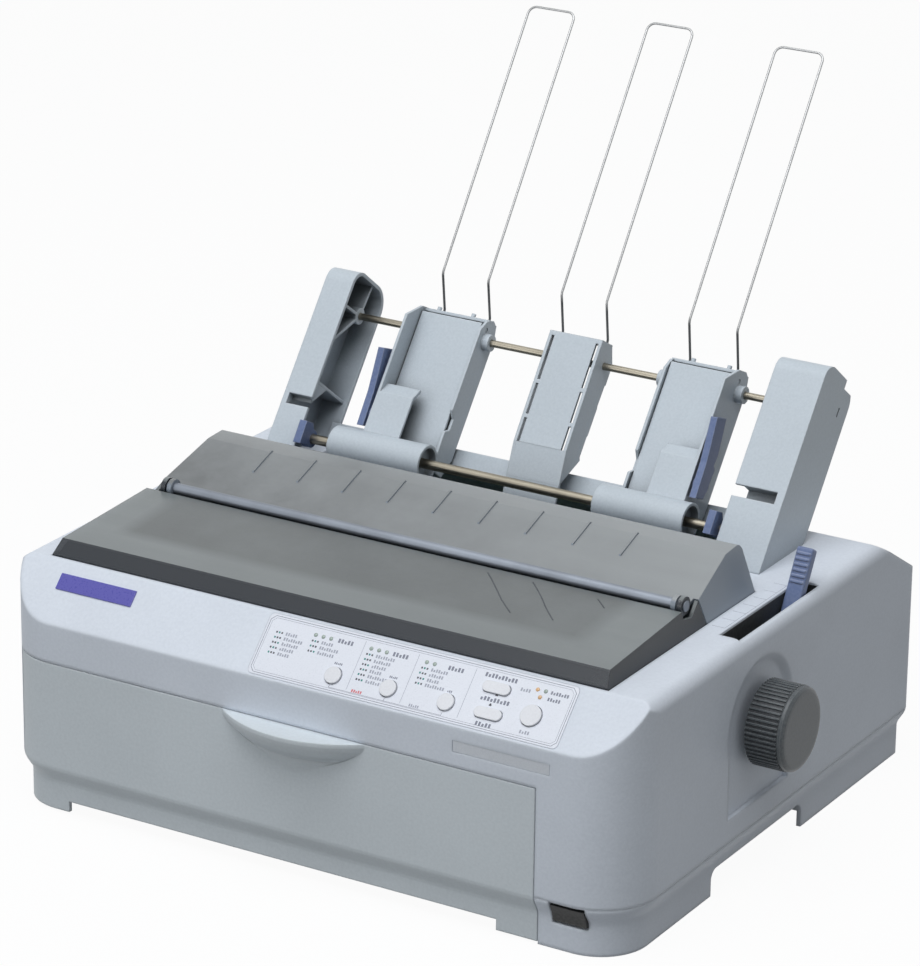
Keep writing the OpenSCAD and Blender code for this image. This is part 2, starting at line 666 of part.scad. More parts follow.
// Hood outline from the side
hood_crest_z = deck_z + hood_rise;
module hood_side(i) {
    r = 5;
    polygon([[seam_y + 2.9 + i, rest_z + 0.2 - (i > 0 ? 1 : 0)], [seam_y - 0.2 + i * 1.1, deck_z + lid_top - i * 0.6],
        [hood_y1 - 21, hood_crest_z - 0.8 - i], [hood_y1 - 2.4 - r, hood_crest_z - i],
        [hood_y1 - 2.4 - i, hood_crest_z - r], [hood_y1 - i, deck_z], [hood_y1 - i, rest_z + 0.2 - (i > 0 ? 1 : 0)]]);
    translate([hood_y1 - 2.4 - r, hood_crest_z - r]) circle(r - i);
}
function hood_top(back) = deck_z + lid_top + (hood_y1 + back - seam_y)
    * (hood_rise - 0.8 - lid_top) / (hood_y1 - 21 - seam_y);
rib_n = 9;
rib_pitch = 30.9;
rib_x0 = -135.5;
module rear_hood() datum() color(smoke) {
    difference() {
        intersection() {
            along_x(lid_x0, lid_x1) hood_side(0);
            along_y(seam_y - 3, hood_y1) leaning_sides(lid_x0, lid_x1, 0, 34);
        }
        intersection() {
            along_x(lid_x0, lid_x1) hood_side(lid_wall);
            along_y(seam_y - 2, hood_y1) leaning_sides(lid_x0, lid_x1, lid_wall, 34);
        }
        // the crest's back edge is lower between its two ends
        block(entry_x0 - 8.5, entry_x1, hood_y1 - 5, hood_y1 + 1, hood_crest_z - 2.2, hood_crest_z + 1);
    }
    // front edge under the bar, and the arms that hold the bar
    along_x(lid_x0 + 11.5, lid_x1 - 7.5) polygon([[bar_y + 5.5, bar_z - bar_r - 1.6], [bar_y + 5, bar_z - bar_r + 0.6],
        [seam_y + 1, deck_z + lid_top + 0.3], [seam_y + 1.6, deck_z + lid_top - 2]]);
    for (x = [bar_x0 + 4, bar_x1 - 7]) difference() {
        union() {
            bar_along_x(x, x + 3, bar_y, bar_z, bar_r + 2);
            block(x, x + 3, bar_y, seam_y + 1, bar_z - bar_r - 2, bar_z - bar_r + 1.4);
        }
        bar_along_x(x - 1, x + 4, bar_y, bar_z, bar_r + 0.02);
    }
    for (k = [0:rib_n - 1]) translate([rib_x0 + k * rib_pitch, 0, 0]) along_x(-0.6, 0.6)
        polygon([[hood_y1 - 41, hood_top(-41) - 0.8], [hood_y1 - 40, hood_top(-40) + 0.9],
            [hood_y1 - 20.5, hood_crest_z + 0.2], [hood_y1 - 18, hood_crest_z - 1.6]]);
}

// ---- Controls ----
module control_overlay() datum() color([0.87, 0.89, 0.93]) on_slope() difference() {
    translate([0, 0, -overlay_t + 0.15]) linear_extrude(overlay_t) overlay_outline(0);
    translate([0, 0, -1]) linear_extrude(2) control_holes(0.35);
}
// Board behind the slope with the lamps and the six key switches
board_z = -9.4;
module control_board() datum() color([0.2, 0.4, 0.3]) on_slope() {
    translate([overlay_left + 6, 7, board_z - 1.6]) cube([overlay_right - overlay_left - 12, 26.8, 1.6]);
    for (p = lamp_at) translate([p[0], p[1], board_z]) cylinder(h = 0.1 - board_z, r = lamp_r);
    for (b = concat(round_buttons, oblong_buttons, [big_button])) translate([b[0], b[1], board_z]) {
        translate([-3, -3, 0]) cube([6, 6, 2]);
        cylinder(h = -wall - 2 - button_travel - 0.3 - board_z, r = 1.6);
    }
}

// A button: cap through the overlay, collar and stem behind the wall
module button_body(at) translate([at[0], at[1], 0]) {
    translate([0, 0, -wall - 2]) linear_extrude(wall + 3.4) children(0);
    translate([0, 0, -wall - 2]) linear_extrude(1.7) children(1);
}
module round_button(at, r) datum() color([0.9, 0.91, 0.94]) on_slope() {
    button_body(at) { circle(r); circle(r + 1.4); }
}
module oblong_button(at) datum() color([0.9, 0.91, 0.94]) on_slope() {
    button_body(at) { oblong(0); oblong(1.2); }
}
module button_round_1() round_button(round_buttons[0], button_r);
module button_round_2() round_button(round_buttons[1], button_r);
module button_round_3() round_button(round_buttons[2], button_r);
module button_round_4() round_button(big_button, button_big_r);
module button_oblong_upper() oblong_button(oblong_buttons[0]);
module button_oblong_lower() oblong_button(oblong_buttons[1]);

// Rocker: a wedge that turns on a pin in its housing
module power_rocker() datum() color([0.08, 0.08, 0.09]) {
    along_x(rocker_x - rocker_w / 2, rocker_x + rocker_w / 2) polygon([
        [rocker_axis_y - 7.8, rocker_z + 5], [rocker_axis_y - 5.6, rocker_z], [rocker_axis_y - 4.4, rocker_z - 5.4],
        [rocker_axis_y - 1, rocker_z - 6], [rocker_axis_y + 3, rocker_z - 1.5], [rocker_axis_y + 3, rocker_z + 1.5],
        [rocker_axis_y - 1, rocker_z + 6]]);
    bar_along_x(rocker_x - rocker_w / 2 - 2.2, rocker_x + rocker_w / 2 + 2.2, rocker_axis_y, rocker_z, rocker_pin_r);
}

// Paper release lever in its slot
lever_y = slot_y1 - 26;
lever_z = deck_z - 18;
lever_pin_r = 2;
lever_t = 9;
lever_x = (slot_x0 + slot_x1) / 2;
module release_lever() datum() color(blue) {
    along_x(lever_x - lever_t / 2, lever_x + lever_t / 2) {
        translate([lever_y, lever_z]) circle(5);
        polygon([[lever_y - 5, lever_z], [lever_y - 4.6, lever_z + 9], [lever_y + 12.6, lever_z + 40.2],
            [lever_y + 14.6, lever_z + 41.2], [lever_y + 29.6, lever_z + 33.6], [lever_y + 30.4, lever_z + 31.4],
            [lever_y + 17.5, lever_z + 9], [lever_y + 5, lever_z - 0.5]]);
    }
    for (k = [0:5]) translate([lever_x - lever_t / 2, lever_y - 2.8 + k * 2.5, lever_z + 13.4 + k * 4.54])
        rotate([-28.9, 0, 0]) translate([0, -0.8, 0]) cube([lever_t, 2, 2]);
    bar_along_x(slot_x0 - 1.6, slot_x1 + 1.6, lever_y, lever_z, lever_pin_r);
}

// ---- Gears ----
pressure = 20;
function inv_deg(a) = tan(a) * 180 / PI - a;
// Half angle of a tooth at radius r, thinned for a little backlash
function tooth_half(teeth, r) = 90 / teeth + inv_deg(pressure) - 6 / teeth
    - inv_deg(acos(min(1, gear_m * teeth / 2 * cos(pressure) / r)));
module gear_outline(teeth, phase) {
    pitch = gear_m * teeth / 2;
    low = max(pitch - 1.25 * gear_m, pitch * cos(pressure));
    radii = [for (k = [0:3]) low + k * (pitch + gear_m - low) / 3];
    root = pitch - 1.25 * gear_m;
    polygon([for (n = [0:teeth - 1]) let (a = phase + n * 360 / teeth) each concat(
        [root * [cos(a - tooth_half(teeth, low)), sin(a - tooth_half(teeth, low))]],
        [for (k = [0:3]) radii[k] * [cos(a - tooth_half(teeth, radii[k])), sin(a - tooth_half(teeth, radii[k]))]],
        [for (k = [3:-1:0]) radii[k] * [cos(a + tooth_half(teeth, radii[k])), sin(a + tooth_half(teeth, radii[k]))]],
        [root * [cos(a + tooth_half(teeth, low)), sin(a + tooth_half(teeth, low))]])]);
}
// Direction from each gear to the next in the train, seen along +X
train_angle = 50;

module platen_gear() datum() color([0.85, 0.83, 0.76]) difference() {
    union() {
        along_x(gear_x0, gear_x1) translate([platen_y, platen_z]) difference() {
            gear_outline(platen_teeth, 180 + train_angle);
            difference() {
                circle(23);
                circle(10);
                for (a = [0:60:120]) rotate(a) square([50, 4], center = true);
            }
        }
        bar_along_x(gear_x0 - 1, gear_x1, platen_y, platen_z, 10);
    }
    bar_along_x(gear_x0 - 5, gear_x1 + 5, platen_y, platen_z, journal_r);
}
module idler_gear() datum() color([0.85, 0.83, 0.76]) difference() {
    bar_gear(idler_y, idler_z, idler_teeth, train_angle + 180 / idler_teeth);
    bar_along_x(gear_x0 - 5, gear_x1 + 5, idler_y, idler_z, 3 + fit);
}
module bar_gear(y, z, teeth, phase) {
    along_x(gear_x0, gear_x1) translate([y, z]) gear_outline(teeth, phase);
}
module feed_pinion() datum() color(steel) {
    bar_gear(pinion_y, pinion_z, pinion_teeth, train_angle);
    bar_along_x(gear_x0 - 2, mech_x0 + 22, pinion_y, pinion_z, 2.5);
}
motor_r = 19;
module feed_motor() datum() color([0.35, 0.36, 0.38]) difference() {
    union() {
        bar_along_x(mech_x0 + frame_t, mech_x0 + frame_t + 21, pinion_y, pinion_z, motor_r);
        block(mech_x0 + frame_t, mech_x0 + frame_t + 2, pinion_y - 25, pinion_y + 25, pinion_z - 8, pinion_z + 8);
        bar_along_x(mech_x0 + 0.2, mech_x0 + frame_t + 1, pinion_y, pinion_z, 9.8);
    }
    bar_along_x(mech_x0 - 2, mech_x0 + 30, pinion_y, pinion_z, 2.5 + fit);
}

// ---- Platen ----
roller_x0 = mech_x0 + 18;
roller_x1 = mech_x1 - 18;
core_r = 8;
module platen_shaft() datum() color(steel) {
    bar_along_x(roller_x0 - 4, roller_x1 + 4, platen_y, platen_z, core_r);
    bar_along_x(gear_x0 - 2, knob_x1 - 8, platen_y, platen_z, journal_r);
}
module platen_roller() datum() color([0.12, 0.12, 0.13]) difference() {
    bar_along_x(roller_x0, roller_x1, platen_y, platen_z, platen_r);
    bar_along_x(roller_x0 - 1, roller_x1 + 1, platen_y, platen_z, core_r);
}
module platen_knob() datum() color([0.3, 0.32, 0.34])
    translate([knob_x1 - knob_w, platen_y, platen_z]) rotate([0, 90, 0]) difference() {
        intersection() {
            linear_extrude(knob_w) polygon([for (k = [0:knob_ribs - 1]) each [
                for (c = [[0, 0], [0.4, 0], [0.6, 0.9], [0.9, 0.9]])
                    (knob_r - c[1]) * [cos((k + c[0]) * 360 / knob_ribs), sin((k + c[0]) * 360 / knob_ribs)]]]);
            rotate_extrude($fn = 96) polygon([[0, 0], [knob_r - 1.5, 0], [knob_r + 1, 3], [knob_r + 1, knob_w - 4],
                [knob_r - 0.6, knob_w - 2], [knob_r - 2.6, knob_w - 0.5], [knob_r - 5, knob_w], [0, knob_w]]);
        }
        // dished face, and the hollow behind it round the hub
        translate([0, 0, knob_w - 1.6]) cylinder(h = 4, r1 = knob_r - 8, r2 = knob_r - 5.4);
        translate([0, 0, -1]) cylinder(h = knob_w - 7, r = journal_r);
        translate([0, 0, -1]) difference() {
            cylinder(h = knob_w - 4, r = knob_r - 4);
            cylinder(h = knob_w, r = journal_r + 3.4);
            for (a = [0:60:120]) rotate(a) translate([-knob_r, -0.9, 3]) cube([2 * knob_r, 1.8, knob_w]);
        }
    }

// ---- Chassis ----
chassis_y0 = bay_y + wall + 4;
chassis_y1 = platen_y + 96;
rail_y = guide_y + 19;
module chassis_plate() datum() color(zinc) {
    difference() {
        block(mech_x0 - 4, mech_x1 + 4, chassis_y0, chassis_y1, floor_z, base_z);
        for (x = [-120:40:120]) block(x - 12, x + 12, platen_y + 20, platen_y + 60, floor_z - 1, base_z + 1);
    }
    // rail that steadies the carriage
    block(mech_x0 + 30, mech_x1 - 14, rail_y, rail_y + frame_t, floor_z, guide_z - 14);
    // stud for the belt's far pulley
    translate([pulley_x[0], belt_y, floor_z]) cylinder(h = belt_z + 6 - floor_z, r = 2.5);
    translate([pulley_x[0], belt_y, floor_z]) cylinder(h = belt_z - 6 - floor_z, r = 6);
    // sheet guide that leads paper from the mouth down to the platen
    along_x(mech_x0 + 20, mech_x1 - 20) polygon([[chassis_y1 - 3, base_z - 1], [chassis_y1 - 1.4, base_z - 1],
        [chassis_y1 - 1.4, deck_z - 34], [platen_y + 54, platen_z + 2], [platen_y + 22, platen_z - 14],
        [platen_y + 22, platen_z - 15.7], [platen_y + 54.6, platen_z + 0.2], [chassis_y1 - 3, deck_z - 35]]);
}

// Side plate of the print mechanism: cheek for the platen, arm for the ribbon
module side_plate() difference() {
    union() {
        polygon([[chassis_y0 + 4, base_z], [chassis_y0 + 4, tractor_z + 14], [chassis_y0 + 16, platen_z + 9],
            [guide_y + 22, platen_z + 9], [platen_y - 19, platen_z + 13], [platen_y + 19, platen_z + 13],
            [platen_y + 52, platen_z - 30], [platen_y + 70, base_z]]);
        translate([platen_y, platen_z + 4]) circle(19);
    }
    translate([platen_y, platen_z]) circle(journal_r + fit);
    translate([guide_y, guide_z]) circle(guide_r);
    translate([tractor_y, tractor_z]) circle(4 + fit);
    translate([platen_y + 30, platen_z - 46]) circle(15);
}
module side_frame_left() datum() color(zinc) {
    along_x(mech_x0, mech_x0 + frame_t) difference() {
        side_plate();
        translate([pinion_y, pinion_z]) circle(10);
    }
    block(mech_x0, mech_x0 + 12, chassis_y0 + 4, chassis_y0 + 60, base_z, base_z + frame_t);
    block(mech_x0, mech_x0 + 12, platen_y + 8, platen_y + 70, base_z, base_z + frame_t);
    bar_along_x(gear_x0 - 1.5, mech_x0 + 1, idler_y, idler_z, 3);
}
module side_frame_right() datum() color(zinc) {
    along_x(mech_x1 - frame_t, mech_x1) side_plate();
    block(mech_x1 - 12, mech_x1, chassis_y0 + 4, chassis_y0 + 60, base_z, base_z + frame_t);
    block(mech_x1 - 12, mech_x1, platen_y + 8, platen_y + 70, base_z, base_z + frame_t);
}
module carriage_rod() datum() color(steel)
    bar_along_x(mech_x0 - 1, mech_x1 + 1, guide_y, guide_z, guide_r);

// ---- Carriage and print head ----
carriage_w = 44;
belt_in = pulley_r + 0.3;
module carriage() datum() color([0.18, 0.18, 0.2]) difference() {
    union() {
    // finger that reaches down beside the belt's rear run
    block(-8, 8, belt_y + belt_in + 1.6, guide_y - 8, belt_z - 4, guide_z + 6);
    along_x(-carriage_w / 2, carriage_w / 2) polygon([[guide_y - 10, guide_z - 8], [guide_y - 10, guide_z + 8],
        [guide_y - 4, guide_z + 12], [guide_y + 22, guide_z + 12], [rail_y + 6, guide_z + 6],
        [rail_y + 6, guide_z - 26], [rail_y - 4, guide_z - 26], [rail_y - 4, guide_z - 8],
        [guide_y + 8, guide_z - 12], [guide_y - 4, guide_z - 12]]);
    }
    bar_along_x(-carriage_w, carriage_w, guide_y, guide_z, guide_r + fit);
    block(-carriage_w, carriage_w, rail_y - 0.4, rail_y + frame_t + 0.4, 0, guide_z - 13);
    // lightening pocket under the head
    block(-12, 12, guide_y + 9, rail_y - 3, guide_z - 30, guide_z + 6);
}
head_x = 14;
module print_head() datum() color([0.28, 0.28, 0.3]) {
    block(-head_x, head_x, guide_y - 2, guide_y + 20, guide_z + 12, guide_z + 20);
    // cooling fins
    for (k = [0:6]) block(-head_x + 1, head_x - 1, guide_y - 12 + k * 3.4, guide_y - 10.4 + k * 3.4,
        guide_z + 19, guide_z + 50);
    block(-head_x + 4, head_x - 4, guide_y - 12, guide_y + 12, guide_z + 19, guide_z + 44);
    // nose that carries the pins
    along_x(-5, 5) polygon([[guide_y + 8, guide_z + 16], [guide_y + 8, guide_z + 42],
        [platen_y - platen_r - 9, platen_z + 7], [platen_y - platen_r - 3, platen_z + 5],
        [platen_y - platen_r - 3, platen_z - 5], [platen_y - platen_r - 9, platen_z - 8]]);
}

// ---- Ribbon ----
ribbon_x0 = mech_x0 + 16;
ribbon_x1 = mech_x1 - 16;
ribbon_y0 = chassis_y0 + 7;
ribbon_y1 = guide_y - 22;
ribbon_z0 = platen_z + 9;
module ribbon_cartridge() datum() color([0.1, 0.1, 0.11]) {
    difference() {
        block(ribbon_x0, ribbon_x1, ribbon_y0, ribbon_y1, ribbon_z0, ribbon_z0 + 22);
        block(ribbon_x0 - 1, ribbon_x0 + 30, ribbon_y0 - 1, ribbon_y0 + 12, ribbon_z0 - 1, ribbon_z0 + 8);
        block(ribbon_x0 + 44, ribbon_x1 - 44, ribbon_y0 + 6, ribbon_y0 + 12, ribbon_z0 + 20.6, ribbon_z0 + 23);
    }
    for (x = [ribbon_x0, ribbon_x1 - 9])
        block(x, x + 9, ribbon_y1 - 1, platen_y - platen_r - 6, ribbon_z0 + 2, ribbon_z0 + 12);
    for (x = [ribbon_x0 + 2, ribbon_x1 - 6])
        block(x, x + 4, platen_y - platen_r - 8, platen_y - platen_r - 1.2, platen_z - 7, ribbon_z0 + 12);
    // the ribbon itself, stretched before the platen
    block(ribbon_x0 + 3, ribbon_x1 - 3, platen_y - platen_r - 1.6, platen_y - platen_r - 1.2, platen_z - 6.5, platen_z + 6.5);
    // lugs that rest on the side plates
    block(mech_x0 - 0.6, ribbon_x0 + 1, ribbon_y1 - 16, ribbon_y1 - 6, ribbon_z0, ribbon_z0 + 4);
    block(ribbon_x1 - 1, mech_x1 + 0.6, ribbon_y1 - 16, ribbon_y1 - 6, ribbon_z0, ribbon_z0 + 4);
    // winding knob
    translate([ribbon_x0 + 20, (ribbon_y0 + ribbon_y1) / 2, ribbon_z0 + 21]) cylinder(h = 6, r = 8);
}

// ---- Carriage drive ----
pulley_x = [mech_x0 + 34, mech_x1 - 30];
module pulley(x, bore, shaft_end) difference() {
    translate([x, belt_y, 0]) {
        translate([0, 0, belt_z - 5.4]) cylinder(h = 2, r = pulley_r + 2);
        translate([0, 0, belt_z - 5.4]) cylinder(h = 10.8, r = pulley_r);
        translate([0, 0, belt_z + 3.4]) cylinder(h = 2, r = pulley_r + 2);
        if (shaft_end > 0) translate([0, 0, shaft_end]) cylinder(h = belt_z + 5 - shaft_end, r = 2.5);
    }
    if (bore > 0) translate([x, belt_y, 0]) cylinder(h = 200, r = bore);
}
module drive_pulley() datum() color(steel) pulley(pulley_x[1], 0, base_z + 4);
module idler_pulley() datum() color(steel) pulley(pulley_x[0], 2.5 + fit, 0);
module carriage_motor() datum() color([0.35, 0.36, 0.38]) difference() {
    translate([pulley_x[1], belt_y, base_z]) {
        cylinder(h = belt_z - 8 - base_z, r = 17);
        translate([-17, -21, 0]) cube([34, 42, 2]);
    }
    translate([pulley_x[1], belt_y, base_z - 1]) cylinder(h = 60, r = 2.5 + fit);
}
module belt_outline(r) {
    for (x = pulley_x) translate([x, belt_y]) circle(r);
    translate([pulley_x[0], belt_y - r]) square([pulley_x[1] - pulley_x[0], 2 * r]);
}
module carriage_belt() datum() color([0.1, 0.1, 0.1])
    translate([0, 0, belt_z - 3]) linear_extrude(6) difference() {
        belt_outline(belt_in + 1.2);
        belt_outline(belt_in);
    }

// ---- Tractor ----
module tractor_shaft() datum() color(steel)
    bar_along_x(mech_x0 - 1.5, mech_x1 + 1.5, tractor_y, tractor_z, 4);
// One pin-feed unit: body on the shaft, pinned belt over its top, hinged flap
module tractor(x) difference() {
    union() {
        along_x(x - 9, x + 9) {
            translate([tractor_y, tractor_z]) circle(9);
            translate([tractor_y - 9, tractor_z]) square([18, 20]);
            translate([tractor_y, tractor_z + 20]) circle(9);
        }
        for (k = [0:3]) translate([x, tractor_y - 8.8, tractor_z + 2 + k * 5.6]) rotate([90, 0, 0])
            cylinder(h = 2.4, r1 = 1.9, r2 = 1.2);
        block(x - 13, x - 10, tractor_y - 10.4, tractor_y - 8, tractor_z, tractor_z + 22);
        block(x - 12, x + 9, tractor_y - 8.6, tractor_y + 2, tractor_z + 6, tractor_z + 10);
    }
    bar_along_x(x - 20, x + 20, tractor_y, tractor_z, 4 + fit);
}
tractor_x = [mech_x0 + 46.5, mech_x1 - 49];
module tractor_left() datum() color([0.22, 0.22, 0.24]) tractor(tractor_x[0]);
module tractor_right() datum() color([0.22, 0.22, 0.24]) tractor(tractor_x[1]);

// ---- Electronics ----
board_y = [platen_y + 107, y_rear - 15];
board_x = [57 - x_right, x_right - 117];
board_top = 35.6;
chip_pitch = (board_x[1] - board_x[0] - 70) / 5;
module board_posts() for (x = [board_x[0] + 8, board_x[1] - 8]) for (y = [board_y[0] + 8, board_y[1] - 8])
    translate([x, y, floor_z - 1]) cylinder(h = board_top - 0.6 - floor_z, r = 4);
module logic_board() datum() color([0.16, 0.4, 0.28]) {
    block(board_x[0], board_x[1], board_y[0], board_y[1], board_top - 1.6, board_top);
    translate([board_x[0], board_y[0], board_top]) {
        for (k = [0:5]) translate([30 + k * chip_pitch, 12, 0]) cube([22, 12, 3.6]);
        translate([90, 34, 0]) cube([40, 16, 4.2]);
        for (k = [0:2]) translate([board_x[1] - board_x[0] - 90 + k * 16, 44, 0]) cylinder(h = 12, r = 5);
    }
}
module interface_port() datum() color([0.3, 0.31, 0.33]) {
    block(port_x[0] + 6, port_x[1] - 6, y_rear - 26, y_rear - 6, board_top, port_z[1] - 2);
    difference() {
        block(port_x[0] + 1, port_x[1] - 1, y_rear - 8, y_rear + 0.4, port_z[0] + 1, port_z[1] - 1);
        block(port_x[0] + 8, port_x[1] - 8, y_rear - 5, y_rear + 1, port_z[0] + 4, port_z[1] - 4);
    }
    block(port_x[0] + 14, port_x[1] - 14, y_rear - 6, y_rear - 0.6, (port_z[0] + port_z[1]) / 2 - 2,
        (port_z[0] + port_z[1]) / 2 + 2);
}
supply_x = [x_right - 103, x_right - 31];
supply_y = [chassis_y1 + 1, y_rear - 31];
module power_supply() datum() color([0.5, 0.5, 0.5]) {
    core_y = [supply_y[0] + 13, supply_y[1] - 15];
    middle_y = (supply_y[0] + supply_y[1]) / 2;
    block(supply_x[0], supply_x[1], supply_y[0], supply_y[1], floor_z + 4, floor_z + 5.6);
    for (x = [supply_x[0] + 6, supply_x[1] - 6]) for (y = [supply_y[0] + 6, supply_y[1] - 6])
        translate([x, y, floor_z]) cylinder(h = 5, r = 3);
    block(supply_x[0] + 6, supply_x[0] + 40, core_y[0], core_y[1], floor_z + 5, floor_z + 40);
    block(supply_x[0] + 2, supply_x[0] + 44, core_y[0] + 6, core_y[1] - 6, floor_z + 8, floor_z + 36);
    for (y = [middle_y - 11, middle_y + 11]) translate([supply_x[0] + 56, y, floor_z + 5])
        cylinder(h = 30, r = 8.5);
    for (k = [0:5]) block(supply_x[0] + 10 + k * 9, supply_x[0] + 11.6 + k * 9, supply_y[0] + 2,
        supply_y[0] + 10, floor_z + 5, floor_z + 36);
    block(supply_x[0] + 6, supply_x[1] - 14, supply_y[0] + 10, supply_y[0] + 11.6, floor_z + 5, floor_z + 36);
}
module ac_inlet() datum() color([0.12, 0.12, 0.12]) difference() {
    union() {
        block(inlet_x[0] + 0.5, inlet_x[1] - 0.5, y_rear - 24, y_rear + 0.6, inlet_z[0] + 0.5, inlet_z[1] - 0.5);
        block(inlet_x[0] - 8, inlet_x[1] + 8, y_rear - wall - 2.4, y_rear - wall - 0.1, inlet_z[0] - 3, inlet_z[1] + 3);
    }
    block(inlet_x[0] + 3, inlet_x[1] - 3, y_rear - 14, y_rear + 1, inlet_z[0] + 3, inlet_z[1] - 3);
}
module case_screws() datum() color(steel) for (p = post_at) translate([p[0], p[1], 0]) {
    translate([0, 0, floor_z - 0.4]) cylinder(h = 2.4, r = head_r);
    translate([0, 0, floor_z + 1]) cylinder(h = split_z + 17 - floor_z - 1, r = screw_r);
}

// ---- Sheet feeder ----

// Outline of a feeder frame across the lean, drawn in by i
module frame_outline(i) {
    translate([frame_front + i, -40]) square([frame_rear - frame_front - 2 * i, frame_len + 26]);
    translate([frame_front + i, -40]) square([30, frame_len + 30]);
    translate([frame_front + 10, 0]) square([20, frame_len - i]);
    translate([frame_front + 10, frame_len - 10]) circle(10 - i);
    translate([frame_rear - 14, frame_len - 14]) circle(14 - i);
}
module rib_2d(a, b, t) {
    d = b - a;
    translate(a) rotate(atan2(d[1], d[0])) translate([0, -t / 2]) square([norm(d), t]);
}
frame_wall = 2.2;
boss_r = 5.2;
rod_at = [rod_depth, rod_along];
module above_deck() intersection() {
    children();
    block(-x_right, x_right, y_front, y_rear + 60, deck_z, deck_z + 300);
}

module feeder_frame_left() datum() color(feeder_color) above_deck() in_feeder() {
    x0 = frame_left_x;
    x1 = frame_left_x + frame_left_w;
    difference() {
        along_x(x0, x1) frame_outline(0);
        along_x(x0 + frame_wall, x1 + 1) difference() {
            frame_outline(frame_wall);
            translate(rod_at) circle(boss_r);
            circle(7);
            for (p = [[-8, rod_along - 1], [20, frame_len], [-8, rod_along - 30]]) rib_2d(rod_at, p, 1.8);
            rib_2d([-8, 35], [frame_rear, 35], 1.8);
            polygon([[-8, 34], [10, 34], [-8, 14]]);
        }
        // slot that the flange opens into
        block(x0 + 3.5, x1 + 1, frame_front - 1, frame_front + frame_wall + 4, 16.5, 23.3);
        bar_along_x(x0 + frame_wall, x1 + 5, rod_depth, rod_along, rod_r + 0.02);
        bar_along_x(x0 + frame_wall, x1 + 5, 0, 0, shaft_r + fit);
        along_x(x1 - 3, x1 + 1) difference() {
            frame_outline(frame_wall);
            circle(0.1);
        }
    }
    // cross beam low behind the hoppers
    block(x1 - 4, frame_right_x - frame_right_w + 6, frame_rear - frame_wall - 2.6, frame_rear - frame_wall, 10, 21);
}

// The right frame's outline, stepped down over its gear case
module gear_outline_2d(i) difference() {
    frame_outline(i);
    translate([22 - i, frame_len - 5.5 - i]) square([30, 20]);
}
module feeder_frame_right() datum() color(feeder_color) above_deck() in_feeder() {
    x0 = frame_right_x - frame_right_w;
    x1 = frame_right_x;
    difference() {
        along_x(x0, x1) gear_outline_2d(0);
        along_x(x0 - 1, x1 - frame_wall) difference() {
            gear_outline_2d(frame_wall);
            // pocket behind the recess
            translate([frame_front, 17.2]) square([frame_wall + 9, 11]);
            translate(rod_at) circle(boss_r);
            circle(7);
            for (p = [[-8, rod_along - 1], [20, frame_len], [-8, rod_along - 30]]) rib_2d(rod_at, p, 1.8);
        }
        along_x(x0 - 1, x0 + 5) gear_outline_2d(frame_wall);
        // recess across the front, open to the left
        block(x0 - 1, x1 - 5, frame_front - 1, frame_front + frame_wall + 7.2, 19.2, 26.4);
        // slit into the gear case
        block(x1 - frame_wall - 1, x1 + 1, 23, 24.6, rod_along, rod_along + 5.5);
        bar_along_x(x0 - 5, x1 - frame_wall, rod_depth, rod_along, rod_r + 0.02);
        bar_along_x(x0 - 5, x1 - frame_wall, 0, 0, shaft_r + fit);
    }
}

module feeder_rod() datum() color(steel) in_feeder()
    bar_along_x(frame_left_x + frame_wall, frame_right_x - frame_wall, rod_depth, rod_along, rod_r);
module feeder_shaft() datum() color(steel) in_feeder()
    bar_along_x(frame_left_x + frame_wall + 0.6, frame_right_x - frame_wall - 0.6, 0, 0, shaft_r);

// A hopper in its own frame: U from its outer wall towards the middle of the feeder
hopper_wall = 1.8;
lever_at = [3, 24];
plate_pin_at = [plate_depth + 4, hopper_top - 7];
plate_pin_r = 1.5;
wire_u = [26.8, 22.7];
module at_hopper_left() translate([hopper_left_x, 0, 0]) children();
module at_hopper_right() translate([hopper_right_x, 0, 0]) mirror([1, 0, 0]) children();

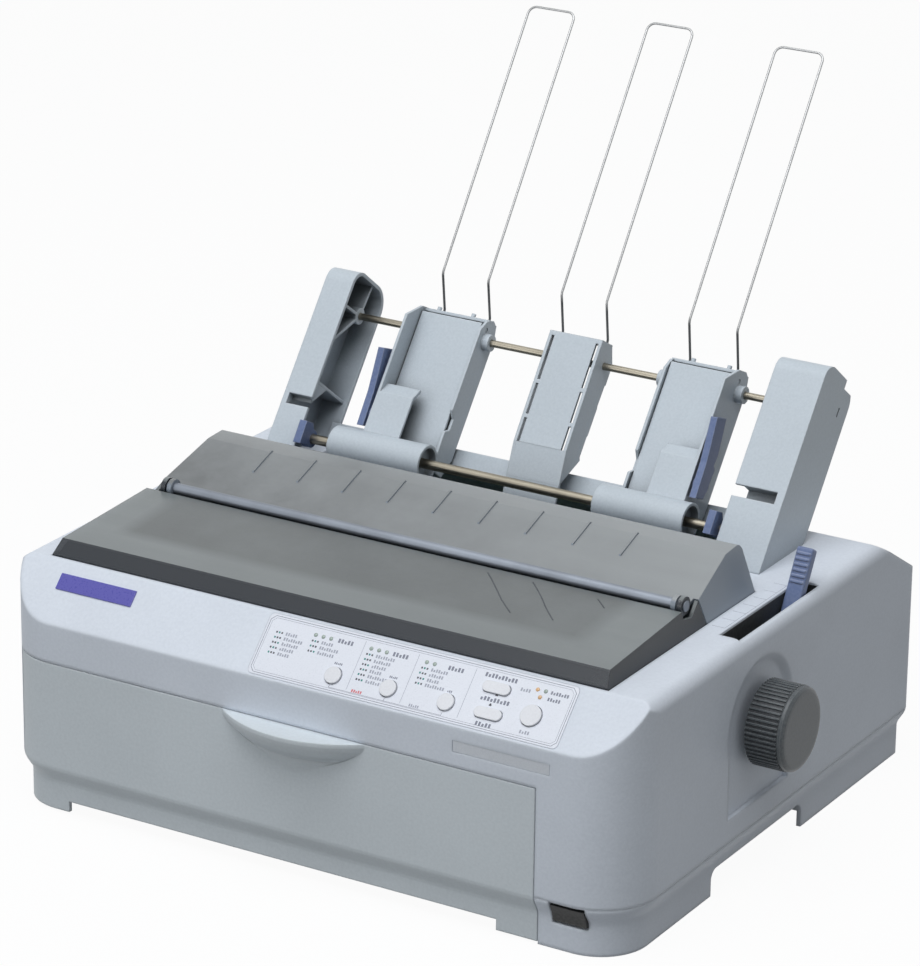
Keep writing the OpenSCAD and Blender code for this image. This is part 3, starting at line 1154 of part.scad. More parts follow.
module hopper(cover0, cover1, web_u, wire_at) difference() {
    union() {
        // tall outer wall
        along_x(0, hopper_wall) {
            polygon([[-3, 6], [-3, hopper_top - 12], [11, hopper_top - 1], [20, hopper_top + 1],
                [25, hopper_top - 1], [hopper_rear, hopper_top - 9], [hopper_rear, 12], [20, -3], [0, -6]]);
            circle(roll_cover_r);
        }
        // low inner wall with its notch
        along_x(hopper_w - hopper_wall, hopper_w) polygon([[inner_front, 2], [inner_front, 24], [inner_front + 5, 27],
            [inner_front + 5, 34], [inner_front, 38], [inner_front, hopper_top - 9], [13, hopper_top - 2],
            [20, hopper_top + 1], [25, hopper_top - 1], [hopper_rear, hopper_top - 9], [hopper_rear, 12], [22, -1], [12, -1]]);
        along_x(0, hopper_w) {
            translate([hopper_rear - 2, 14]) square([2, hopper_top - 22]);
            rib_2d([hopper_rear - 1, hopper_top - 9], [24, hopper_top - 1.6], 2);
            rib_2d([15, hopper_top - 1.4], [25, hopper_top - 1.4], 2);
        }
        for (u = [10, 34]) translate([u, 17, hopper_top - 1]) cylinder(h = 3, r = 1.4);
        // hubs on the support rod
        bar_along_x(-5, hopper_wall, rod_depth, rod_along, boss_r);
        bar_along_x(hopper_w - hopper_wall, hopper_w + 4.6, rod_depth, rod_along, boss_r);
        // roller cover, its web and the front corner guard
        bar_along_x(cover0, cover1, 0, 0, roll_cover_r);
        along_x(0, 25) polygon([[-3, 8], [-3, 37], [2.4, 44.5], [4, 43.3], [-1.4, 36.2], [-1.4, 8]]);
    }
    bar_along_x(cover0 - 1, -hopper_wall, 0, 0, roll_cover_r - 1.8);
    bar_along_x(hopper_wall, web_u, 0, 0, roll_cover_r - 1.5);
    bar_along_x(web_u + 1.8, cover1 + 1, 0, 0, roll_cover_r - 1.8);
    // window where the rollers meet the sheets
    block(hopper_wall, min(web_u, hopper_w - hopper_wall), 4.5, 14, -9.6, 12);
    bar_along_x(-20, hopper_w + 10, rod_depth, rod_along, rod_r + fit);
    bar_along_x(-20, hopper_w + 10, 0, 0, shaft_r + fit);
    bar_along_x(-1, hopper_wall + 1, lever_at[0], lever_at[1], 2 + fit);
    bar_along_x(-1, hopper_w + 1, plate_pin_at[0], plate_pin_at[1], plate_pin_r + fit);
    for (s = [-1, 1]) translate([wire_at + s * wire_w / 2, wire_depth(), hopper_top - 10])
        cylinder(h = 14, r = wire_d / 2 + 0.02);
}
module hopper_left() datum() color(feeder_color) in_feeder() at_hopper_left() hopper(-16.6, 47.8, 41.4, wire_u[0]);
module hopper_right() datum() color(feeder_color) in_feeder() at_hopper_right() hopper(-6.7, 53, 49, wire_u[1]);

// Sprung plate that presses the sheets on the rollers
module pressure_plate() {
    along_x(hopper_wall + 0.6, hopper_w - hopper_wall - 0.6) {
        translate([plate_depth, 4.6]) square([1.8, hopper_top - 8.6]);
        translate(plate_pin_at) circle(plate_pin_r + 1.2);
        translate([plate_depth, plate_pin_at[1] - 1.6]) square([4, 3.2]);
    }
    bar_along_x(0.4, hopper_w - 0.4, plate_pin_at[0], plate_pin_at[1], plate_pin_r);
}
module pressure_plate_left() datum() color(feeder_color) in_feeder() at_hopper_left() pressure_plate();
module pressure_plate_right() datum() color(feeder_color) in_feeder() at_hopper_right() pressure_plate();

// Lever on the hopper's outer wall that draws the plate back
module set_lever() {
    along_x(-6.2, -1.9) {
        polygon([[-9, 62.5], [2.4, 66], [7.4, 45], [6.6, 38], [9.4, 36], [7.4, 17], [-2.6, 14], [-3.6, 36], [-5.4, 45]]);
        translate(lever_at) circle(6);
    }
    bar_along_x(-1.95, -0.3, lever_at[0], lever_at[1], 4);
    bar_along_x(-2, hopper_wall - 0.3, lever_at[0], lever_at[1], 2);
}
module set_lever_left() datum() color(blue) in_feeder() at_hopper_left() set_lever();
module set_lever_right() datum() color(blue) in_feeder() at_hopper_right() set_lever();

// Rubber feed roller under a cover
module feed_roller() rotate([0, 90, 0]) rotate_extrude() polygon([[shaft_r + fit, 4], [6, 4], [6, 6],
    [feed_roll_r, 6], [feed_roll_r, 17], [6, 17], [6, 27], [feed_roll_r, 27], [feed_roll_r, 38], [6, 38],
    [6, 40.5], [shaft_r + fit, 40.5]]);
module feed_roller_left() datum() color([0.15, 0.15, 0.16]) in_feeder() at_hopper_left() feed_roller();
module feed_roller_right() datum() color([0.15, 0.15, 0.16]) in_feeder() at_hopper_right() feed_roller();

// Narrow support for the middle of the sheets
module middle_support() datum() color(feeder_color) in_feeder() translate([middle_x - middle_w / 2, 0, 0]) difference() {
    union() {
        along_x(0, middle_w) {
            rib_2d([6.9, hopper_top - 1.4], [8.9, 28], 1.8);
            rib_2d([8.9, 28.6], [14.3, 8], 1.8);
            rib_2d([14.2, 8.6], [17.4, -3.6], 1.8);
            rib_2d([6.4, hopper_top - 2], [20, hopper_top - 0.2], 1.8);
        }
        for (x = [0, middle_w - 1.8]) along_x(x, x + 1.8) polygon([[6, hopper_top - 2], [8, 28], [13.5, 8], [27.9, 29.3],
            [26.4, 31], [26.4, 44], [27.1, 45], [27.1, 62.4], [26.5, 64], [26.8, 77.2], [27.8, 78], [27.6, 90.6],
            [19, hopper_top + 0.8]]);
        for (x = [0, middle_w - 3]) bar_along_x(x, x + 3, rod_depth, rod_along, 4.2);
    }
    for (x = [1.4, middle_w - 4.4]) for (a = [[28, 43], [45.4, 65], [67.6, 96]])
        block(x + 0.6, x + 2.4, 4, 10.5, a[0], a[1]);
    bar_along_x(-1, middle_w + 1, rod_depth, rod_along, rod_r + fit);
    for (s = [-1, 1]) translate([middle_w / 2 + s * (wire_w / 2 - 0.6) , 17, hopper_top - 8]) cylinder(h = 12, r = wire_d / 2 + 0.02);
}

// Bent wire that the sheets lean on: two legs and a cross bar with clipped corners
module wire_run(length) {
    sphere(wire_d / 2 + 0.04);
    cylinder(h = length, r = wire_d / 2);
}
module paper_wire(x, depth, w) {
    knee = 25;
    clip = 4;
    y0 = shaft_y + local_y(depth, wire_base);
    z0 = shaft_z + local_z(depth, wire_base);
    for (s = [-1, 1]) {
        in_feeder() translate([x + s * w / 2, depth, wire_base - 10]) cylinder(h = 10, r = wire_d / 2);
        translate([x + s * w / 2, y0, z0]) rotate([-wire_tilt(), 0, 0]) wire_run(knee);
        translate([x + s * w / 2, y0 + knee * sin(wire_tilt()), z0 + knee * cos(wire_tilt())])
            rotate([-wire_rake(), 0, 0]) {
                wire_run(wire_len - clip);
                translate([0, 0, wire_len - clip]) rotate([0, -45 * s, 0]) wire_run(clip * sqrt(2));
            }
    }
    translate([x - w / 2 + clip, y0 + knee * sin(wire_tilt()), z0 + knee * cos(wire_tilt())])
        rotate([-wire_rake(), 0, 0]) translate([0, 0, wire_len]) rotate([0, 90, 0]) {
            wire_run(w - 2 * clip);
            translate([0, 0, w - 2 * clip]) sphere(wire_d / 2 + 0.04);
        }
}
module paper_wire_left() datum() color(steel) paper_wire(hopper_left_x + wire_u[0], wire_depth(), wire_w);
module paper_wire_right() datum() color(steel) paper_wire(hopper_right_x - wire_u[1], wire_depth(), wire_w);
module paper_wire_middle() datum() color(steel) paper_wire(middle_x, 17, wire_w - 1.2);

// Blue tabs at the ends of the roller shaft
module lock_tab(x0, x1) difference() {
    union() {
        bar_along_x(x0, x1, 0, 0, 5.6);
        along_x(x0, x1) polygon([[-12.6, 7], [-5, 8.6], [-1, 4.8], [-2, -5], [-12, -7.4]]);
    }
    bar_along_x(x0 - 1, x1 + 1, 0, 0, shaft_r + fit);
}
module lock_tab_left() datum() color(blue) in_feeder()
    lock_tab(frame_left_x + frame_left_w + 0.5, frame_left_x + frame_left_w + 5.5);
module lock_tab_right() datum() color(blue) in_feeder()
    lock_tab(frame_right_x - frame_right_w - 8, frame_right_x - frame_right_w - 3.2);

lower_case();
upper_case();
front_cover();
printer_lid();
lid_bar();
rear_hood();
control_overlay();
control_board();
button_round_1();
button_round_2();
button_round_3();
button_oblong_upper();
button_oblong_lower();
button_round_4();
power_rocker();
release_lever();
platen_knob();
platen_shaft();
platen_roller();
platen_gear();
idler_gear();
feed_pinion();
feed_motor();
chassis_plate();
side_frame_left();
side_frame_right();
carriage_rod();
carriage();
print_head();
ribbon_cartridge();
carriage_motor();
drive_pulley();
idler_pulley();
carriage_belt();
tractor_shaft();
tractor_left();
tractor_right();
logic_board();
power_supply();
interface_port();
ac_inlet();
case_screws();
feeder_frame_left();
feeder_frame_right();
feeder_rod();
feeder_shaft();
feed_roller_left();
feed_roller_right();
hopper_left();
hopper_right();
pressure_plate_left();
pressure_plate_right();
set_lever_left();
set_lever_right();
middle_support();
paper_wire_left();
paper_wire_middle();
paper_wire_right();
lock_tab_left();
lock_tab_right();
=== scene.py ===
"""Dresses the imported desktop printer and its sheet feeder: finishes, printed legends, plates and wires."""
import logging
import math
from dataclasses import dataclass, field
from enum import Enum
from typing import Iterable, Mapping, Sequence

import bmesh
import bpy
from mathutils import Matrix, Vector


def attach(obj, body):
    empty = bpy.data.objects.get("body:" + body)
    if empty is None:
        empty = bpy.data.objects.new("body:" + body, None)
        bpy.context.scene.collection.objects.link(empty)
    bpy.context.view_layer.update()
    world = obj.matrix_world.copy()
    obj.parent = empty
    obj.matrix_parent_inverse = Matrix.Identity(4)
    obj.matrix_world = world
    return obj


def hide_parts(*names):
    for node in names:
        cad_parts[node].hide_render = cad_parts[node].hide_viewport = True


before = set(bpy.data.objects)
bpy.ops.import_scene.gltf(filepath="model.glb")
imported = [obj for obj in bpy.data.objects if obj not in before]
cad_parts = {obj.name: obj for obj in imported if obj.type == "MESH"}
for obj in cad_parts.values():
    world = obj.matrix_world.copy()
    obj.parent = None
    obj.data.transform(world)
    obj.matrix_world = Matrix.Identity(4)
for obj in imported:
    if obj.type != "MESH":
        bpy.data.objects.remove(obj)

log = logging.getLogger("printer")
logging.basicConfig(level=logging.INFO, format="%(name)s: %(message)s")

MM = 0.001
SHIFT = Vector((-13.0, -26.8438, 0.0)) * MM
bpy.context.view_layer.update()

Colour = tuple[float, float, float, float]
Pair = tuple[float, float]
Triple = tuple[float, float, float]
Socket = bpy.types.NodeSocket


def linear(red: int, green: int, blue: int) -> Colour:
    """Turn an 8-bit display colour into the linear colour that a shader takes.

    Args:
        red: Red, 0 to 255.
        green: Green, 0 to 255.
        blue: Blue, 0 to 255.

    Returns:
        Linear red, green, blue and an alpha of 1.
    """

    def one(value: int) -> float:
        """Linear value of one channel."""
        v = value / 255
        return v / 12.92 if v <= 0.04045 else ((v + 0.055) / 1.055) ** 2.4

    return (one(red), one(green), one(blue), 1.0)


def shaded(colour: Colour, share: float) -> Colour:
    """Colour darkened to a share of its light."""
    return tuple(c * share for c in colour[:3]) + (1.0,)


def lifted(colour: Colour, step: float) -> Colour:
    """Colour with the same step of grey added to each channel."""
    return tuple(min(1.0, c + step) for c in colour[:3]) + (1.0,)


def body_point(x: float, y: float, z: float) -> Vector:
    """Place of a point in the row frame.

    Args:
        x: Millimetres to the right of the middle of the case.
        y: Millimetres behind the middle of the case.
        z: Millimetres above the table.

    Returns:
        The same point in metres in the row frame.
    """
    return Vector((x, y, z)) * MM + SHIFT


def spot(x: float, y: float, z: float) -> Matrix:
    """Place of a point in the row frame, as body_point gives it, with the frame's own axes."""
    return Matrix.Translation(body_point(x, y, z))


def shown(name: str, data: bpy.types.ID) -> bpy.types.Object:
    """A new object in the scene, from its mesh, lamp or camera data."""
    obj = bpy.data.objects.new(name, data)
    bpy.context.scene.collection.objects.link(obj)
    return obj


# ---- Materials ----


def feed(tree: bpy.types.NodeTree, socket: Socket, value: object) -> None:
    """Link a socket to another one, or give it a plain value."""
    if isinstance(value, Socket):
        tree.links.new(value, socket)
    else:
        socket.default_value = value


def joined(tree: bpy.types.NodeTree, operation: str, first: Socket, second: Socket | float) -> Socket:
    """Join two grey values.

    Args:
        tree: The node tree that they are in.
        operation: The Math node's operation.
        first: The first value.
        second: The second value, as a socket or a number.

    Returns:
        The result's socket.
    """
    node = tree.nodes.new("ShaderNodeMath")
    node.operation = operation
    feed(tree, node.inputs[0], first)
    feed(tree, node.inputs[1], second)
    return node.outputs[0]


def seeing(tree: bpy.types.NodeTree) -> Socket:
    """Grey value that is 1 for rays that see the surroundings: camera, glossy and transmission rays."""
    path = tree.nodes.new("ShaderNodeLightPath")
    total = path.outputs["Is Camera Ray"]
    for name in ("Is Glossy Ray", "Is Transmission Ray"):
        total = joined(tree, "MAXIMUM", total, path.outputs[name])
    return total


class Recipe:
    """Builds one node material, step by step."""

    def __init__(self, name: str) -> None:
        """Start an empty material with an output node."""
        self.material = bpy.data.materials.new(name)
        self.material.use_nodes = True
        self.tree = self.material.node_tree
        self.tree.nodes.clear()
        self.out = self.tree.nodes.new("ShaderNodeOutputMaterial")
        where = self.add("ShaderNodeTexCoord")
        self.place = where.outputs["Object"]
        self.facing = where.outputs["Normal"]

    def add(self, kind: str, **values: object) -> bpy.types.Node:
        """Add a node.

        Args:
            kind: The node's type.
            values: Socket values by socket name with underscores for spaces. A socket links.

        Returns:
            The new node.
        """
        node = self.tree.nodes.new(kind)
        for key, value in values.items():
            feed(self.tree, node.inputs[key.replace("_", " ")], value)
        return node

    def noise(self, scale: float, detail: float = 2.0, roughness: float = 0.5) -> Socket:
        """Grey noise in object space, with `scale` waves to the metre."""
        node = self.add("ShaderNodeTexNoise", Vector=self.place, Scale=scale, Detail=detail,
                        Roughness=roughness)
        return node.outputs["Fac"]

    def ramp(self, value: Socket, low: float, high: float) -> Socket:
        """Stretch a grey value so that low becomes 0 and high becomes 1."""
        return self.add("ShaderNodeMapRange", Value=value, From_Min=low, From_Max=high).outputs["Result"]

    def spread(self, value: Socket, low: float, high: float) -> Socket:
        """Turn a grey value of 0 to 1 into one of low to high."""
        return self.add("ShaderNodeMapRange", Value=value, To_Min=low, To_Max=high).outputs["Result"]

    def times(self, first: Socket, second: Socket) -> Socket:
        """Product of two grey values."""
        return joined(self.tree, "MULTIPLY", first, second)

    def split(self, vector: Socket) -> Mapping[str, Socket]:
        """The X, Y and Z of a vector, by name."""
        return self.add("ShaderNodeSeparateXYZ", Vector=vector).outputs

    def mix(self, factor: object, first: object, second: object) -> Socket:
        """Mix two colours by a factor."""
        node = self.tree.nodes.new("ShaderNodeMix")
        node.data_type = "RGBA"
        for index, value in ((0, factor), (6, first), (7, second)):
            feed(self.tree, node.inputs[index], value)
        return node.outputs[2]

    def edge(self, radius: float) -> tuple[Socket, Socket]:
        """Soften sharp edges in the shading.

        Args:
            radius: Radius of the softened edge in metres.

        Returns:
            The softened normal, and a mask that is 1 on the edges.
        """
        bevel = self.add("ShaderNodeBevel", Radius=radius)
        bevel.samples = 4
        plain = self.add("ShaderNodeNewGeometry")
        dot = self.tree.nodes.new("ShaderNodeVectorMath")
        dot.operation = "DOT_PRODUCT"
        self.tree.links.new(bevel.outputs["Normal"], dot.inputs[0])
        self.tree.links.new(plain.outputs["Normal"], dot.inputs[1])
        return bevel.outputs["Normal"], self.ramp(dot.outputs["Value"], 0.995, 0.86)

    def crevice_shade(self, reach: float) -> Socket:
        """Painted shade mask: 0 deep in a recess and 1 on open surfaces, measured within reach metres."""
        node = self.add("ShaderNodeAmbientOcclusion", Distance=reach)
        node.samples = 6
        return self.ramp(node.outputs["AO"], 0.22, 0.72)

    def bump(self, height: Socket, depth: float, normal: Socket | None = None) -> Socket:
        """Bump a surface by a height, depth metres high."""
        node = self.add("ShaderNodeBump", Strength=1.0, Distance=depth, Height=height)
        if normal is not None:
            self.tree.links.new(normal, node.inputs["Normal"])
        return node.outputs["Normal"]

    def finish(self, **values: object) -> bpy.types.Material:
        """Close the material with a Principled shader.

        Args:
            values: Socket values of the shader.

        Returns:
            The finished material.
        """
        shader = self.add("ShaderNodeBsdfPrincipled", **values)
        self.tree.links.new(shader.outputs["BSDF"], self.out.inputs["Surface"])
        return self.material


@dataclass(frozen=True)
class MouldedPlastic:
    """Spark-textured moulding, a little uneven in colour, with pale edges: partly edge wear, partly a painted
    highlight.

    grain is the texture's waves to the metre and depth its height. edge is the radius of its softened
    edges and rub how pale they are, partly edge wear and partly a painted highlight. mottle and fleck are
    its coarse and fine unevenness, and crevice is how dark the painted shade is in recesses within reach
    metres.
    """

    name: str
    colour: Colour
    roughness: float = 0.48
    grain: float = 900.0
    depth: float = 0.00005
    rub_and_highlight: float = 0.10
    edge: float = 0.0009
    mottle: float = 0.05
    crevice_shade: float = 0.0
    fleck: float = 0.04
    reach: float = 0.030

    def make(self) -> bpy.types.Material:
        """Build the material."""
        r = Recipe(self.name)
        shade = shaded(self.colour, 1 - self.mottle)
        # Pale edge colour: partly edge wear, partly a painted highlight on rounded edges.
        light = tuple(c + self.rub_and_highlight * (1 - c) for c in self.colour[:3]) + (1.0,)
        cloud = r.ramp(r.noise(16.0, 3.0), 0.35, 0.65)
        speck = r.ramp(r.noise(self.grain * 0.6, 1.0), 0.30, 0.70)
        base = r.mix(cloud, self.colour, shade)
        tint = r.mix(self.fleck, base, speck)
        soft, mask = r.edge(self.edge)
        colour = r.mix(mask, tint, light)
        # Painted shade: recesses darken by ambient occlusion, as much as crevice says.
        if self.crevice_shade > 0.0:
            colour = r.mix(r.crevice_shade(self.reach), shaded(shade, 1 - self.crevice_shade), colour)
        rough = r.spread(speck, self.roughness - 0.05, self.roughness + 0.07)
        normal = r.bump(r.noise(self.grain, 2.0, 0.6), self.depth, soft)
        return r.finish(Base_Color=colour, Roughness=rough, Normal=normal, Specular_IOR_Level=0.45)


@dataclass(frozen=True)
class SmokedPlastic:
    """Smoked see-through moulding: dark on its upright faces, paled where it faces up by a painted sheen that
    stands for the reflection of the lit space above.

    cover is how much of it is opaque. Between the two values of lying, a face's upward share takes it
    from bare to the painted sheen. rim is how bare its edges are. The sheen is darkened to shade, painted
    between the ends of well in X and Y in metres, and fade is how far that takes to come in; on the lid it
    covers the dark hollow under the cover, on the hood its left and front parts.
    """

    name: str
    colour: Colour
    dust: Colour
    cover: float
    roughness: float
    lying: Pair
    rim: float
    shade: float
    well: tuple[Pair, Pair]
    fade: Pair

    def make(self) -> bpy.types.Material:
        """Build the material."""
        r = Recipe(self.name)
        stretched = r.add("ShaderNodeMapping", Vector=r.place, Scale=(0.5, 6.0, 6.0)).outputs["Vector"]
        streak = r.add("ShaderNodeTexNoise", Vector=stretched, Scale=9.0, Detail=4.0).outputs["Fac"]
        # Painted sheen: up-facing faces pale, standing for the reflection of the lit space above; streaks and
        # smudges vary it.
        painted_sheen = r.mix(r.ramp(streak, 0.3, 0.75), self.dust, shaded(self.dust, 0.88))
        # Painted shade: the sheen darkens over the lid's dark hollow and over the hood's left and front
        # parts.
        painted_sheen = r.mix(self.over_well(r), painted_sheen, shaded(self.dust, self.shade))
        smear = r.ramp(r.noise(14.0, 5.0, 0.62), 0.42, 0.66)
        painted_sheen = r.mix(smear, painted_sheen, r.mix(0.5, painted_sheen, shaded(self.dust, 0.80)))
        # Faces that look up get the painted sheen; upright faces keep the dark base colour.
        tint = r.mix(r.ramp(r.split(r.facing)["Z"], *self.lying), self.colour, painted_sheen)
        soft, mask = r.edge(0.0009)
        colour = r.mix(r.spread(mask, 0.0, self.rim), tint, self.colour)
        rough = r.spread(r.noise(500.0), self.roughness - 0.04, self.roughness + 0.08)
        normal = r.bump(r.noise(1100.0, 1.0), 0.00003, soft)
        return r.finish(Base_Color=colour, Roughness=rough, Normal=normal, Alpha=self.cover,
                        Specular_IOR_Level=0.5, Coat_Weight=0.15, Coat_Roughness=0.2)

    def over_well(self, r: Recipe) -> Socket:
        """Painted shade mask: 1 over the dark hollow under the lid's cover, fading to 0 over its ledges, and
        1 over the hood's left and front parts.

        Args:
            r: The material under construction.

        Returns:
            The value's socket.
        """
        at = r.split(r.place)
        total = r.spread(r.ramp(r.noise(26.0, 3.0), 0.2, 0.8), 0.75, 1.0)
        for axis, (low, high), fade in zip("XY", self.well, self.fade):
            total = r.times(total, r.ramp(at[axis], low, low + fade))
            total = r.times(total, r.ramp(at[axis], high, high - fade))
        return total


@dataclass(frozen=True)
class DrawnMetal:
    """Metal drawn or ground along X, with fine streaks and a little tarnish."""

    name: str
    colour: Colour
    roughness: float
    metallic: float = 1.0

    def make(self) -> bpy.types.Material:
        """Build the material."""
        r = Recipe(self.name)
        stretched = r.add("ShaderNodeMapping", Vector=r.place, Scale=(0.02, 1.0, 1.0)).outputs["Vector"]
        streak = r.add("ShaderNodeTexNoise", Vector=stretched, Scale=1800.0, Detail=3.0).outputs["Fac"]
        colour = r.mix(r.ramp(r.noise(30.0, 4.0), 0.35, 0.75), self.colour, shaded(self.colour, 0.72))
        rough = r.spread(streak, self.roughness - 0.08, self.roughness + 0.12)
        soft, _ = r.edge(0.0004)
        normal = r.bump(streak, 0.00001, soft)
        return r.finish(Base_Color=colour, Metallic=self.metallic, Roughness=rough, Normal=normal)


@dataclass(frozen=True)
class PaintedReflectionWire:
    """Steel wire whose tone is a painted reflection: dark near its feet and pale above its knee, where it
    reflects the lit space above.
    """

    name: str
    dark_lower_reflection: Colour
    pale_upper_reflection: Colour
    knee: Pair = (0.2505, 0.2555)

    def make(self) -> bpy.types.Material:
        """Build the material."""
        r = Recipe(self.name)
        # Painted reflection: dark below the knee, pale above it.
        reflection_share = r.ramp(r.split(r.place)["Z"], *self.knee)
        stain = r.mix(r.ramp(r.noise(40.0, 3.0), 0.4, 0.8), self.pale_upper_reflection, shaded(self.pale_upper_reflection, 0.9))
        return r.finish(Base_Color=r.mix(reflection_share, self.dark_lower_reflection, stain), Metallic=0.6,
                        Roughness=r.spread(reflection_share, 0.45, 0.22), Normal=r.bump(r.noise(300.0), 0.000005))


@dataclass(frozen=True)
class SheetMetal:
    """Zinc-plated sheet with its spangle."""

    name: str
    colour: Colour

    def make(self) -> bpy.types.Material:
        """Build the material."""
        r = Recipe(self.name)
        spangle = r.add("ShaderNodeTexVoronoi", Vector=r.place, Scale=240.0)
        grey = r.ramp(spangle.outputs["Color"], 0.0, 1.0)
        soft, _ = r.edge(0.0005)
        return r.finish(Base_Color=r.mix(grey, self.colour, shaded(self.colour, 0.86)), Metallic=0.7,
                        Roughness=r.spread(grey, 0.50, 0.60), Normal=r.bump(r.noise(600.0), 0.00002, soft))


@dataclass(frozen=True)
class Rubber:
    """Ground rubber with paper dust on it."""

    name: str
    colour: Colour

    def make(self) -> bpy.types.Material:
        """Build the material."""
        r = Recipe(self.name)
        dust = r.ramp(r.noise(60.0, 5.0, 0.7), 0.45, 0.8)
        return r.finish(Base_Color=r.mix(dust, self.colour, lifted(self.colour, 0.09)), Roughness=0.82,
                        Normal=r.bump(r.noise(1500.0, 2.0), 0.00008))


@dataclass(frozen=True)
class CircuitBoard:
    """Green board with copper runs under its mask."""

    name: str
    mask: Colour
    copper: Colour

    def make(self) -> bpy.types.Material:
        """Build the material."""
        r = Recipe(self.name)
        bricks = r.add("ShaderNodeTexBrick", Vector=r.place, Scale=90.0, Mortar_Size=0.09, Mortar_Smooth=0.2)
        runs = r.ramp(bricks.outputs["Fac"], 0.2, 0.8)
        return r.finish(Base_Color=r.mix(runs, self.mask, self.copper), Roughness=0.36,
                        Normal=r.bump(runs, 0.00004))


@dataclass(frozen=True)
class PrintedInk:
    """Screen-printed ink, thin at its edges."""

    name: str
    colour: Colour

    def make(self) -> bpy.types.Material:
        """Build the material."""
        r = Recipe(self.name)
        worn = r.ramp(r.noise(700.0, 3.0), 0.5, 0.85)
        return r.finish(Base_Color=r.mix(worn, self.colour, lifted(self.colour, 0.10)), Roughness=0.5,
                        Normal=r.bump(r.noise(2500.0), 0.00001))


@dataclass(frozen=True)
class LampLens:
    """Small coloured lamp lens, unlit."""

    name: str
    colour: Colour

    def make(self) -> bpy.types.Material:
        """Build the material."""
        r = Recipe(self.name)
        cloud = r.ramp(r.noise(900.0, 2.0), 0.35, 0.7)
        return r.finish(Base_Color=r.mix(cloud, self.colour, shaded(self.colour, 0.8)), Roughness=0.15,
                        Coat_Weight=0.6, Normal=r.bump(r.noise(1400.0), 0.00001))


